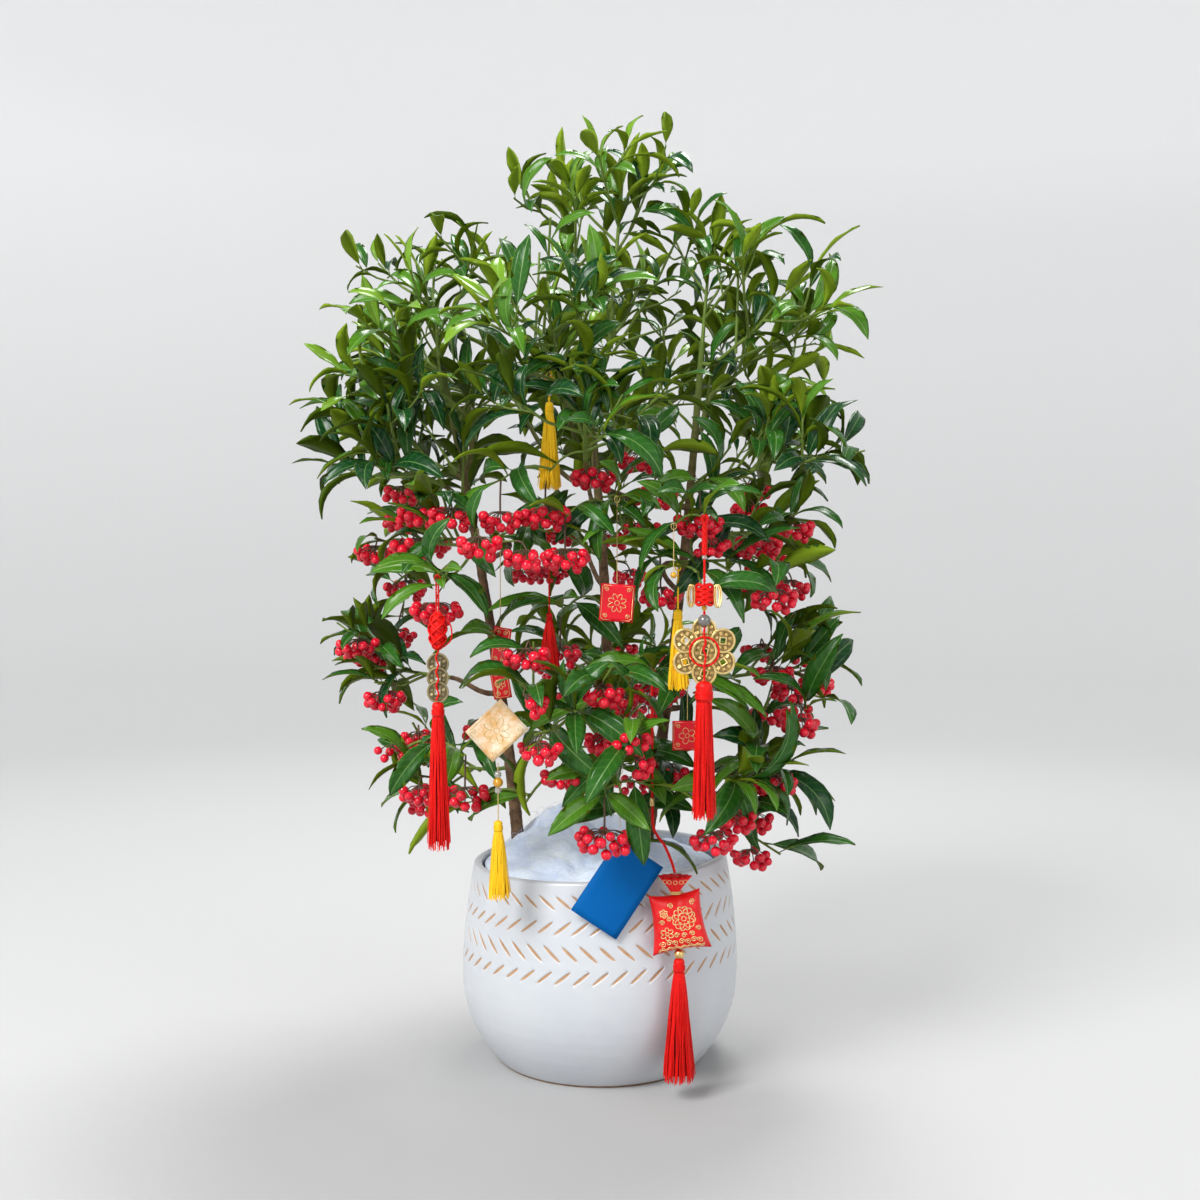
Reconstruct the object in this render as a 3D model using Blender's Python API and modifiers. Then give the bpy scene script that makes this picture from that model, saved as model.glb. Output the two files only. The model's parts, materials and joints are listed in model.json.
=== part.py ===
"""A coral ardisia in a thrown belly planter, as separate solids.

The pot, its soil and the cotton wadding on top carry three stems. The middle stem forks near its
top. Boughs leave the stems, and each ends where a separate mass of twigs, leaves and fruit begins.

Metres, +Z up. The origin is the centre of the pot's flat foot, and the plant's front faces -Y.
"""

import math
import random
from dataclasses import dataclass

import bmesh
import bpy
from mathutils import Euler, Matrix, Vector
from mathutils.bvhtree import BVHTree

OBJECT_NAME = "potted_coral_ardisia"
UP = Vector((0.0, 0.0, 1.0))
GAP = 0.0003  # clear space where one piece meets the next
GOLDEN_ANGLE = math.radians(137.5)

# The pot: a flat foot, a low round belly and a narrower rim that rises to the right
POT_HEIGHT = 0.203
FOOT_RADIUS = 0.100
BELLY_RADIUS = 0.1375
BELLY_HEIGHT = 0.094
RIM_RADIUS = 0.1255
WALL = 0.008
FLOOR = 0.012
FOOT_CURVE = 2.4  # how late the wall turns in towards its foot
SHOULDER_CURVE = 1.7  # and towards its rim
RIM_SLANT = 0.045  # how far the rim rises for each metre to the right
FLOOR_FILLET = 0.010  # how far the inner floor ends short of the wall
POT_STEPS = 30
OUTER_SHARES = (0.96, 0.84, 0.70, 0.56, 0.42, 0.29, 0.17, 0.07)  # of the height, on the way down
INNER_SHARES = (0.14, 0.32, 0.56, 0.80, 0.97)  # and on the way up inside

# The filling: soil, and wadding heaped up behind the stems
SOIL_TOP = 0.172
SOIL_PLAY = 0.0015
SOIL_SHARES = (0.56, 0.32, 0.14)  # of the pot's height, on the way down
WADDING_RADIUS = 0.111
WADDING_EDGE = 0.196
WADDING_MOUND = 0.052
MOUND_CENTRE = (-0.030, 0.020)
MOUND_SPREAD = 0.066
LUMP_HEIGHT = 0.003
LUMPS_PER_RADIAN = (70.0, 62.0)  # how closely the lumps follow each other along X and along Y
WADDING_RINGS = (0.0, 0.28, 0.52, 0.74, 0.90, 1.0)  # of its radius
STEM_HOLE_PLAY = 0.0008

# The stems and boughs
CROWN_X = -0.013
CROWN_DEPTH = 0.84  # how deep the crown is from front to back, as a share of its width
STEM_POINTS = 12
STEM_SPACING = 1.15  # over 1 sets a stem's points closer together low down
STEM_TIP_RADIUS = 0.0030
STEM_SIDES = 8
ROOT_FLARE = 0.0032
FLARE_HEIGHT = 0.016
LEVEL_FOOT = 0.003  # a stem starts upright for this far, so that its cut is level
BOUGH_ROOT_RADIUS = 0.0028
BOUGH_TIP_RADIUS = 0.0021
BOUGH_SIDES = 6
BOUGH_STRAIGHT = 0.003  # a bough's straight first and last stretch
BOUGH_PULL = 0.38  # how firmly a bough's ends keep their direction
BOUGH_STAGGER = 0.3  # neighbouring boughs leave a stem higher and lower by this share of their rise
BOUGH_TIP_STAGGER = 0.012  # and end this much higher and lower

# Twigs: the mass's own stem, then two side shoots
TWIG_RADII = (0.0022, 0.0020, 0.0017)
SIDE_RADII = (0.0015, 0.0018, 0.0017)
KNEE = 0.3  # where a mass's own stem bends, as a share of its length
SIDE_ROOTS = (0.02, 0.38)  # where the side shoots leave the stretch beyond the knee
SIDE_LENGTHS = (1.05, 0.93)  # as shares of the mass's own stem
SIDE_ALONG = 0.62  # how far a side shoot keeps to its parent's direction
SIDE_OUT = 0.78  # and how far it turns away from it
SIDE_FLATNESS = 0.55  # under 1 spreads the side shoots more level than upright
SIDE_LIFT = 0.3
SIDE_TRIES = 6
STEM_TURNS = (0, 15, -15, 30, -30, 45, -45, 60, -60)  # degrees tried until the stem is clear

# Leaves
LEAF_LENGTH = 0.094
LEAF_WIDTH = 0.032
LEAF_THICKNESS = 0.0018
LEAF_FOOT = 0.0008  # half the height of a leaf's foot, which is sunk in its twig
LEAF_MIDDLE = 0.46  # where a leaf is widest, as a share of its length
LEAF_ARCH = 0.07  # how far the leaf's middle is raised, as a share of its length
FLAT_SIDE = 0.5  # how near to the middle of a twig's flat sides the leaves come out
LEAF_ZONE = (0.17, 0.97)  # the stretch of a shoot that carries leaves
TIP_SPREAD = 38.0  # degrees between a shoot's youngest leaf and the shoot
FOOT_SPREAD = 86.0  # and its oldest
LEAF_SCATTER = (0.84, 1.04)  # lengths run between these shares of the full one
YOUNG_LEAF = 0.86  # the youngest leaf's length, as a share of the oldest's
FACE_OUTWARD = 0.5  # how far a leaf's face tips away from the crown's centre
FACE_SWAY = 0.6  # and to any side
STEEPEST_FALL = -0.35
LEAF_RISE = 0.10
LEAF_TURNS = (0.0, 0.35, -0.35, 0.75, -0.75, 1.2, -1.2)  # radians tried round the shoot
TOUCH_PLAY = 0.0004  # leaves of one mass pass each other at least this far apart

# Fruit
BERRY_RADIUS = 0.0080
BERRIES_PER_CLUSTER = 3
BERRY_RING = 1.06  # from the stalk's end to a fruit's centre, in fruit radii
BERRY_STEP = 0.3  # one fruit sits this much above the next, in fruit radii
STALK_RADIUS = 0.0016
STALK_STRETCH = 0.020  # the stalk runs outwards this far, then arches down this far
STALK_ROOTS = (0.1, 0.5)  # along the outer half of a shoot
STALK_TRIES = 8

CLEARANCE = 0.0009  # each piece is tested this much larger all round
ROOT_SKIP = 0.3  # but not along the first stretch of a shoot, which is sunk in its parent
SPACE_SLACK = 0.016  # how far a leaf may lean past the middle between two masses
CENTRE_SHIFT = 0.3  # a mass's middle lies this share of a leaf beyond its stem's tip


@dataclass(frozen=True)
class StemPlan:
    """One stem: where it starts and ends, how it curves, and its thickness."""

    name: str
    foot: tuple
    tip: tuple
    lean_power: float
    bow: float
    foot_radius: float


STEMS = (
    StemPlan("left_stem", (-0.080, 0.004), (-0.155, -0.004, 0.685), 1.4, 0.0, 0.0066),
    StemPlan("middle_stem", (0.006, 0.014), (-0.022, 0.026, 0.752), 1.0, 0.013, 0.0068),
    StemPlan("right_stem", (0.040, -0.016), (0.100, -0.014, 0.710), 1.0, 0.006, 0.0064),
)
LEADER_START_HEIGHT = 0.678
LEADER_TIP = Vector((0.014, -0.018, 0.774))
LEADER_HEADING = Vector((0.10, -0.08, 1.0)).normalized()
LEADER_RADII = (0.0030, 0.0022)


@dataclass(frozen=True)
class Ring:
    """Masses round the plant at one height, each at the end of its own bough."""

    name: str
    azimuths: tuple
    height: float
    reach: float  # from the crown's centre to where a mass begins
    rise: float  # how far a bough climbs from its stem
    lift: float  # slope of a mass's own stem, positive upwards
    shoot: float  # length of a mass's own stem
    leaves: tuple  # on the mass's own stem, then on each of its side shoots
    clusters: int
    droop: float  # how far leaves hang, as a share of their length


def even_azimuths(count, first):
    """Azimuths in degrees for a ring of evenly set masses."""
    return tuple(first + 360.0 * i / count for i in range(count))


RINGS = (
    Ring("shoulder", (10, 65, 118, 162, 204, 262), 0.655, 0.130, 0.060, 0.80, 0.070, (6, 4, 4), 0, 0.12),
    Ring("skirt", even_azimuths(6, 30), 0.580, 0.150, 0.042, 0.45, 0.074, (6, 4, 4), 0, 0.30),
    Ring("upper_fruit", even_azimuths(5, 18), 0.510, 0.122, 0.030, 0.05, 0.066, (4, 3, 3), 2, 0.30),
    Ring("middle_fruit", (182, 268, 356, 88), 0.372, 0.136, 0.022, 0.15, 0.070, (4, 3, 3), 2, 0.25),
)


@dataclass(frozen=True)
class StemMass:
    """A mass that grows straight from a stem, at its tip or from its side."""

    name: str
    stem: str
    root_height: float  # ignored for a mass on a stem's tip
    azimuth: float
    lift: float
    shoot: float
    leaves: tuple
    clusters: int
    droop: float
    at_tip: bool = False


STEM_MASSES = (
    StemMass("left_tip_leaves", "left_stem", 0, 0, 0, 0.074, (6, 4, 4), 0, 0.05, True),
    StemMass("middle_tip_leaves", "middle_stem", 0, 0, 0, 0.074, (6, 4, 4), 0, 0.05, True),
    StemMass("leader_tip_leaves", "leader", 0, 0, 0, 0.070, (6, 4, 4), 0, 0.05, True),
    StemMass("right_tip_leaves", "right_stem", 0, 0, 0, 0.070, (6, 4, 4), 0, 0.05, True),
    StemMass("crown_leaves_1", "middle_stem", 0.700, 190, 1.9, 0.135, (6, 4, 4), 0, 0.12),
    StemMass("crown_leaves_2", "right_stem", 0.690, 318, 0.9, 0.100, (6, 4, 4), 0, 0.12),
    StemMass("crown_leaves_3", "middle_stem", 0.700, 60, 1.3, 0.125, (6, 4, 4), 0, 0.12),
    StemMass("low_fruit_1", "left_stem", 0.290, 190, 0.15, 0.085, (5, 3), 2, 0.35),
    StemMass("low_fruit_2", "middle_stem", 0.300, 277, 0.05, 0.105, (4, 3, 3), 2, 0.35),
    StemMass("low_fruit_3", "right_stem", 0.285, 350, 0.10, 0.105, (4, 3, 3), 2, 0.35),
    StemMass("low_fruit_4", "middle_stem", 0.300, 95, 0.15, 0.105, (4, 3, 3), 2, 0.35),
)

COLOURS = {
    "glazed_clay": ((0.80, 0.79, 0.76), 0.42),
    "soil": ((0.07, 0.045, 0.03), 0.95),
    "wadding": ((0.66, 0.69, 0.80), 0.95),
    "bark": ((0.16, 0.11, 0.07), 0.80),
    "twig": ((0.16, 0.17, 0.06), 0.70),
    "leaf": ((0.035, 0.14, 0.03), 0.38),
    "fruit": ((0.62, 0.015, 0.03), 0.22),
}


def make_material(name):
    """A Principled BSDF material in one of the named colours."""
    colour, roughness = COLOURS[name]
    material = bpy.data.materials.new(name)
    material.use_nodes = True
    shader = material.node_tree.nodes["Principled BSDF"]
    shader.inputs["Base Color"].default_value = (*colour, 1.0)
    shader.inputs["Roughness"].default_value = roughness
    material.diffuse_color = (*colour, 1.0)
    return material


def evaluated_mesh(obj):
    """The object's mesh after its modifiers, in world space, with doubled points merged."""
    bpy.context.view_layer.update()
    graph = bpy.context.evaluated_depsgraph_get()
    mesh = bpy.data.meshes.new_from_object(obj.evaluated_get(graph))
    mesh.transform(obj.matrix_world)
    work = bmesh.new()
    work.from_mesh(mesh)
    bmesh.ops.remove_doubles(work, verts=work.verts, dist=1e-6)
    work.to_mesh(mesh)
    work.free()
    return mesh


def as_mesh_object(obj):
    """Replaces a curve or a modified object by a plain mesh object of the same name."""
    name = obj.name
    mesh = evaluated_mesh(obj)
    collections = list(obj.users_collection)
    hidden = obj.hide_render
    bpy.data.objects.remove(obj)
    plain = bpy.data.objects.new(name, mesh)
    for collection in collections:
        collection.objects.link(plain)
    plain.hide_render = hidden
    return plain


def outer_radius(z):
    """The pot's outer radius at a height."""
    if z < BELLY_HEIGHT:
        below = 1 - z / BELLY_HEIGHT
        return BELLY_RADIUS - (BELLY_RADIUS - FOOT_RADIUS) * below**FOOT_CURVE
    above = (z - BELLY_HEIGHT) / (POT_HEIGHT - BELLY_HEIGHT)
    return BELLY_RADIUS - (BELLY_RADIUS - RIM_RADIUS) * above**SHOULDER_CURVE


def inner_radius(z):
    """The pot's inner radius at a height above its floor."""
    return outer_radius(z) - WALL


def turned(name, profile, collection, material):
    """A closed shape turned from a profile that runs from the axis, round the outside, back to it."""
    mesh = bpy.data.meshes.new(name)
    edges = [(i, i + 1) for i in range(len(profile) - 1)]
    mesh.from_pydata([(r, 0.0, z) for r, z in profile], edges, [])
    mesh.materials.append(material)
    obj = bpy.data.objects.new(name, mesh)
    collection.objects.link(obj)
    screw = obj.modifiers.new("Turn", "SCREW")
    screw.steps = screw.render_steps = POT_STEPS
    screw.use_merge_vertices = True
    screw.merge_threshold = 0.0001
    screw.use_smooth_shade = True
    return as_mesh_object(obj)


def slant(mesh):
    """Raises the pot's right side and lowers its left, more towards the rim, as it was thrown."""
    for vertex in mesh.vertices:
        vertex.co.z += RIM_SLANT * vertex.co.x * vertex.co.z / POT_HEIGHT


def make_pot(collection, material):
    """The pot: its profile runs from the floor's centre up the inner wall, over the lip and down."""
    lip = [
        (inner_radius(POT_HEIGHT) + WALL * 0.25, POT_HEIGHT * 0.995),
        (outer_radius(POT_HEIGHT) - WALL * 0.5, POT_HEIGHT),
        (outer_radius(POT_HEIGHT) - WALL * 0.15, POT_HEIGHT * 0.992),
    ]
    profile = [(0.0, FLOOR), (inner_radius(FLOOR) - FLOOR_FILLET, FLOOR)]
    profile += [(inner_radius(POT_HEIGHT * share), POT_HEIGHT * share) for share in INNER_SHARES]
    profile += lip
    profile += [(outer_radius(POT_HEIGHT * share), POT_HEIGHT * share) for share in OUTER_SHARES]
    profile += [(FOOT_RADIUS, 0.0), (0.0, 0.0)]
    pot = turned("pot", profile, collection, material)
    slant(pot.data)
    return pot


def make_soil(collection, material):
    """The soil that fills the pot, clear of its floor and wall."""
    low = FLOOR + GAP
    heights = [SOIL_TOP] + [POT_HEIGHT * share for share in SOIL_SHARES]
    profile = [(0.0, SOIL_TOP)]
    profile += [(inner_radius(z) - SOIL_PLAY, z) for z in heights]
    profile += [(inner_radius(low) - FLOOR_FILLET - 0.004, low), (0.0, low)]
    return turned("soil", profile, collection, material)


def wadding_top(x, y):
    """Height of the wadding's surface: a heap behind the stems, with soft lumps."""
    across, along = x - MOUND_CENTRE[0], y - MOUND_CENTRE[1]
    heap = WADDING_MOUND * math.exp(-(across**2 + along**2) / (2 * MOUND_SPREAD**2))
    lumps = LUMP_HEIGHT * math.sin(LUMPS_PER_RADIAN[0] * x + 1.0) * math.cos(LUMPS_PER_RADIAN[1] * y)
    edge = min(1.0, math.hypot(x, y) / WADDING_RADIUS)
    return WADDING_EDGE + (heap + lumps) * (1 - edge**4)


def make_wadding(collection, material, stems):
    """The heap of cotton wadding, with a hole for each stem."""
    low = SOIL_TOP + GAP
    profile = [(WADDING_RADIUS * share, WADDING_EDGE) for share in WADDING_RINGS]
    profile += [(WADDING_RADIUS - 0.001, low), (0.0, low)]
    wadding = turned("wadding", profile, collection, material)
    for vertex in wadding.data.vertices:
        if vertex.co.z > WADDING_EDGE - 1e-6:
            vertex.co.z = wadding_top(vertex.co.x, vertex.co.y)
    cutters = bpy.data.collections.new("cutters")
    bpy.context.scene.collection.children.link(cutters)
    cutters.hide_render = True
    for stem in stems:
        cutter = stem.cutter(cutters)
        hole = wadding.modifiers.new(f"Hole for {stem.name}", "BOOLEAN")
        hole.operation = "DIFFERENCE"
        hole.solver = "EXACT"
        hole.object = cutter
    wadding = as_mesh_object(wadding)
    for cutter in list(cutters.objects):
        bpy.data.objects.remove(cutter)
    bpy.data.collections.remove(cutters)
    return wadding


def tube(name, points, radii, sides, collection, material):
    """A tapering tube with flat ends along the points, as a curve."""
    curve = bpy.data.curves.new(name, "CURVE")
    curve.dimensions = "3D"
    curve.bevel_depth = max(radii)
    curve.bevel_resolution = (sides - 4) // 2
    curve.use_fill_caps = True
    spline = curve.splines.new("POLY")
    spline.points.add(len(points) - 1)
    for point, place, radius in zip(spline.points, points, radii):
        point.co = (*place, 1.0)
        point.radius = radius / curve.bevel_depth
    curve.materials.append(material)
    obj = bpy.data.objects.new(name, curve)
    collection.objects.link(obj)
    return obj


class Limb:
    """A limb's centre line and its radius along it."""

    def __init__(self, name, points, radii):
        self.name = name
        self.points = points
        self.radii = radii

    def at_height(self, z):
        """Place, direction and radius of the limb at a height."""
        for i in range(len(self.points) - 1):
            low, high = self.points[i], self.points[i + 1]
            if low.z <= z <= high.z:
                share = (z - low.z) / (high.z - low.z)
                radius = self.radii[i] + (self.radii[i + 1] - self.radii[i]) * share
                return low.lerp(high, share), (high - low).normalized(), radius
        raise ValueError(f"{self.name} doesn't reach a height of {z}")

    def tip_direction(self):
        """The way the limb points at its end."""
        return (self.points[-1] - self.points[-2]).normalized()

    def cutter(self, collection):
        """A slightly thicker mesh of the limb's foot that runs below the soil's top."""
        count = 5
        below = self.points[0] - UP * 0.004
        points = [below] + self.points[:count]
        radii = self.radii[:1] + self.radii[:count]
        fat = [radius + STEM_HOLE_PLAY for radius in radii]
        obj = tube(f"{self.name}_cutter", points, fat, STEM_SIDES, collection, None)
        obj = as_mesh_object(obj)
        obj.display_type = "WIRE"
        obj.hide_render = True
        return obj


def stem_limb(plan):
    """A stem's line from a level cut at the soil to its tip, with its lean, bow, taper and flare."""
    foot = Vector((plan.foot[0], plan.foot[1], SOIL_TOP + GAP))
    tip = Vector(plan.tip)
    points, radii = [], []
    for i in range(STEM_POINTS):
        share = (i / (STEM_POINTS - 1)) ** STEM_SPACING
        across = share**plan.lean_power
        point = Vector((0, 0, foot.z + (tip.z - foot.z) * share))
        point.x = foot.x + (tip.x - foot.x) * across + plan.bow * math.sin(math.pi * share)
        point.y = foot.y + (tip.y - foot.y) * across
        flare = ROOT_FLARE * math.exp(-(point.z - foot.z) / FLARE_HEIGHT)
        points.append(point)
        radii.append(STEM_TIP_RADIUS + (plan.foot_radius - STEM_TIP_RADIUS) * (1 - share) + flare)
    points.insert(1, foot + UP * LEVEL_FOOT)
    radii.insert(1, radii[0])
    return Limb(plan.name, points, radii)


def bezier(a, b, c, d, share):
    """A point on a cubic curve from a to d."""
    rest = 1 - share
    return a * rest**3 + b * 3 * rest**2 * share + c * 3 * rest * share**2 + d * share**3


def side_limb(name, stem, root_height, end, end_direction, root_radius, tip_radius):
    """A limb that leaves a stem squarely, GAP clear of it, and bends to reach its end."""
    place, along, stem_radius = stem.at_height(root_height)
    outward = end - place
    outward = (outward - along * outward.dot(along)).normalized()
    start = place + outward * (stem_radius + GAP)
    first, last = start + outward * BOUGH_STRAIGHT, end - end_direction * BOUGH_STRAIGHT
    pull = BOUGH_PULL * (last - first).length
    middle = [
        bezier(first, first + outward * pull, last - end_direction * pull, last, share)
        for share in (0.0, 0.5, 1.0)
    ]
    points = [start] + middle + [end]
    radii = [root_radius + (tip_radius - root_radius) * i / (len(points) - 1) for i in range(len(points))]
    return Limb(name, points, radii)


def nearest_stem(stems, place, height):
    """The stem whose line passes closest to a place, seen from above."""

    def distance(stem):
        where = stem.at_height(height)[0]
        return math.hypot(where.x - place.x, where.y - place.y)

    return min((s for s in stems if s.points[-1].z > height), key=distance)


def side_and_normal(direction, hint):
    """Two directions square to the given one, the second near the hint."""
    side = direction.cross(hint)
    if side.length < 1e-4:
        side = direction.cross(Vector((1.0, 0.0, 0.0)))
    side.normalize()
    return side, side.cross(direction).normalized()


def twig_shape(points, radii, fat=0.0):
    """A three-sided tapering twig along the points."""
    corners = []
    hint = UP if abs((points[-1] - points[0]).normalized().z) < 0.8 else Vector((0.0, 1.0, 0.0))
    for i, point in enumerate(points):
        before, after = points[max(i - 1, 0)], points[min(i + 1, len(points) - 1)]
        side, normal = side_and_normal((after - before).normalized(), hint)
        for k in range(3):
            angle = math.pi / 2 + 2 * math.pi * k / 3
            corners.append(point + (side * math.cos(angle) + normal * math.sin(angle)) * (radii[i] + fat))
    faces = [(0, 2, 1)]
    for i in range(len(points) - 1):
        for k in range(3):
            a, b = 3 * i + k, 3 * i + (k + 1) % 3
            faces.append((a, b, b + 3))
            faces.append((a, b + 3, a + 3))
    last = 3 * (len(points) - 1)
    faces.append((last, last + 1, last + 2))
    return corners, faces


def from_flat_side(angle):
    """An angle round a three-sided twig, moved away from the twig's corners."""
    third = 2 * math.pi / 3
    middle = math.pi / 6 + third * round((angle - math.pi / 6) / third)
    return middle + (angle - middle) * FLAT_SIDE


def leaf_shape(root, direction, normal, length, droop, fat=0.0, whole=True):
    """A keeled leaf of eight faces: an upright foot inside its twig, a raised middle, a hanging tip."""
    side, normal = side_and_normal(direction, normal)
    half = LEAF_WIDTH / 2 * length / LEAF_LENGTH + fat
    middle = root + direction * (LEAF_MIDDLE * length) + normal * (LEAF_ARCH * length)
    tip = root + direction * (length + fat) - UP * (droop * length)
    keel = middle - normal * (LEAF_THICKNESS + fat)
    upper, lower = root + normal * (LEAF_FOOT + fat), root - normal * (LEAF_FOOT + fat)
    left, right = (middle + side * way + normal * fat for way in (-half, half))
    corners = [upper, lower, left, right, keel, tip]
    point = [(2, 3, 5), (3, 4, 5), (4, 2, 5)]
    if not whole:
        return corners, point
    return corners, [(0, 3, 2), (0, 2, 1), (0, 1, 3), (1, 2, 4), (1, 4, 3)] + point


def berry_shape(centre, radius):
    """A round fruit of twenty faces."""
    work = bmesh.new()
    bmesh.ops.create_icosphere(work, subdivisions=1, radius=radius, matrix=Matrix.Translation(centre))
    corners = [vertex.co.copy() for vertex in work.verts]
    faces = [tuple(vertex.index for vertex in face.verts) for face in work.faces]
    work.free()
    return corners, faces


class Thicket:
    """Everything placed so far, to keep each new piece clear of the rest."""

    def __init__(self):
        self.items = []

    def add(self, shape, owner):
        """Remembers a shape as an obstacle that belongs to owner."""
        corners, faces = shape
        low = Vector([min(c[i] for c in corners) for i in range(3)])
        high = Vector([max(c[i] for c in corners) for i in range(3)])
        centre = (low + high) / 2
        self.items.append((centre, (high - low).length / 2, BVHTree.FromPolygons(corners, faces), owner))

    def add_mesh(self, mesh, owner):
        """Remembers a whole mesh as an obstacle."""
        corners = [vertex.co.copy() for vertex in mesh.vertices]
        self.add((corners, [tuple(p.vertices) for p in mesh.polygons]), owner)

    def touched(self, shape, skip=(), only=None):
        """Whether a shape cuts anything here, apart from what the skipped owners hold."""
        corners, faces = shape
        centre = sum(corners, Vector()) / len(corners)
        radius = max((c - centre).length for c in corners)
        tree = None
        for other_centre, other_radius, other, owner in self.items:
            if owner in skip or (only is not None and owner != only):
                continue
            if (other_centre - centre).length > other_radius + radius:
                continue
            tree = tree or BVHTree.FromPolygons(corners, faces)
            if tree.overlap(other):
                return True
        return False


class Mass:
    """A mass of foliage: the plan of its growth and the pieces grown so far."""

    def __init__(self, name, carrier, start, outward, heading, plan):
        self.name = name
        self.carrier = carrier
        self.start = start
        self.outward = outward
        self.heading = heading
        self.plan = plan
        self.centre = start + heading * (plan.shoot + CENTRE_SHIFT * LEAF_LENGTH)
        self.random = random.Random(name)
        self.pieces = []

    def owns(self, place, centres):
        """Whether a place is in this mass's own space."""
        own = (place - self.centre).length - SPACE_SLACK
        return all(own < (place - other).length for other in centres)

    def place(self, shape, material, thicket):
        """Keeps a piece of this mass."""
        self.pieces.append((shape, material))
        thicket.add(shape, self.name)

    def grow(self, thicket, centres):
        """Grows the main shoot, its side shoots, and their fruit and leaves."""
        main = self.main_shoot(thicket)
        self.place(twig_shape(main, TWIG_RADII), "twig", thicket)
        shoots = [main]
        turn = self.random.uniform(0, 2 * math.pi)
        for i in range(len(self.plan.leaves) - 1):
            side = self.side_shoot(main, i, turn + i * math.pi, thicket)
            if side:
                shoots.append(side)
        for i in range(self.plan.clusters):
            self.grow_cluster(shoots[i % len(shoots)], i, thicket, centres)
        for shoot, count in zip(shoots, self.plan.leaves):
            self.grow_leaves(shoot, count, thicket, centres)

    def main_shoot(self, thicket):
        """The mass's own stem: square to what carries it, then turned until it touches no limb."""
        knee = self.start + self.outward * (KNEE * self.plan.shoot)
        for turn in STEM_TURNS:
            heading = self.heading.copy()
            heading.rotate(Euler((0.0, 0.0, math.radians(turn))))
            points = [self.start, knee, knee + heading * ((1 - KNEE) * self.plan.shoot)]
            if not thicket.touched(twig_shape(points, TWIG_RADII, CLEARANCE), skip=(self.carrier,)):
                return points
        raise ValueError(f"{self.name} finds no clear way for its stem")

    def side_shoot(self, main, index, turn, thicket):
        """A side shoot from the main one, turned until it touches nothing, its outer half rising."""
        start = main[1].lerp(main[2], SIDE_ROOTS[index])
        along = (main[2] - main[1]).normalized()
        side, normal = side_and_normal(along, UP)
        half = self.plan.shoot * SIDE_LENGTHS[index] / 2
        for attempt in range(SIDE_TRIES):
            angle = turn + math.radians(50) * attempt
            out = side * math.cos(angle) + normal * (SIDE_FLATNESS * math.sin(angle))
            heading = (along * SIDE_ALONG + out.normalized() * SIDE_OUT).normalized()
            middle = start + heading * half
            points = [start, middle, middle + (heading + UP * SIDE_LIFT).normalized() * half]
            fat = twig_shape([start.lerp(middle, ROOT_SKIP)] + points[1:], TWIG_RADII, CLEARANCE)
            if not thicket.touched(fat, skip=(self.name,)):
                self.place(twig_shape(points, SIDE_RADII), "twig", thicket)
                return points
        return None

    def grow_leaves(self, shoot, count, thicket, centres):
        """Leaves in golden-angle order, more upright towards the shoot's tip."""
        along = (shoot[-1] - shoot[-2]).normalized()
        side, normal = side_and_normal(along, UP)
        turn = self.random.uniform(0, 2 * math.pi)
        for i in range(count):
            age = 1 - (i + 0.5) / count
            share = LEAF_ZONE[1] + (LEAF_ZONE[0] - LEAF_ZONE[1]) * age
            position = share * (len(shoot) - 1)
            index = min(int(position), len(shoot) - 2)
            root = shoot[index].lerp(shoot[index + 1], position - index)
            spread = math.radians(TIP_SPREAD + (FOOT_SPREAD - TIP_SPREAD) * age)
            growth = YOUNG_LEAF + (1 - YOUNG_LEAF) * age
            length = LEAF_LENGTH * self.random.uniform(*LEAF_SCATTER) * growth
            outwards = Vector((root.x - CROWN_X, root.y, 0.0)).normalized()
            sway = heading_of(self.random.uniform(0, 360), 0.0)
            face = (UP + outwards * FACE_OUTWARD + sway * FACE_SWAY).normalized()
            for attempt in LEAF_TURNS:
                angle = from_flat_side(turn + i * GOLDEN_ANGLE + attempt)
                out = side * math.cos(angle) + normal * math.sin(angle)
                direction = along * math.cos(spread) + out * math.sin(spread)
                direction.z = max(direction.z, STEEPEST_FALL) + LEAF_RISE
                direction.normalize()
                if self.try_leaf(root, direction, face, length, thicket, centres):
                    break

    def try_leaf(self, root, direction, face, length, thicket, centres):
        """Adds a leaf unless it leaves this mass's space or touches something."""
        droop = self.plan.droop
        tip = root + direction * length - UP * (droop * length)
        if not self.owns(tip, centres):
            return False
        fat = leaf_shape(root, direction, face, length, droop, CLEARANCE)
        if thicket.touched(fat, skip=(self.name,)):
            return False
        outer = leaf_shape(root, direction, face, length, droop, TOUCH_PLAY, whole=False)
        if thicket.touched(outer, only=self.name):
            return False
        self.place(leaf_shape(root, direction, face, length, droop), "leaf", thicket)
        return True

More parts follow.
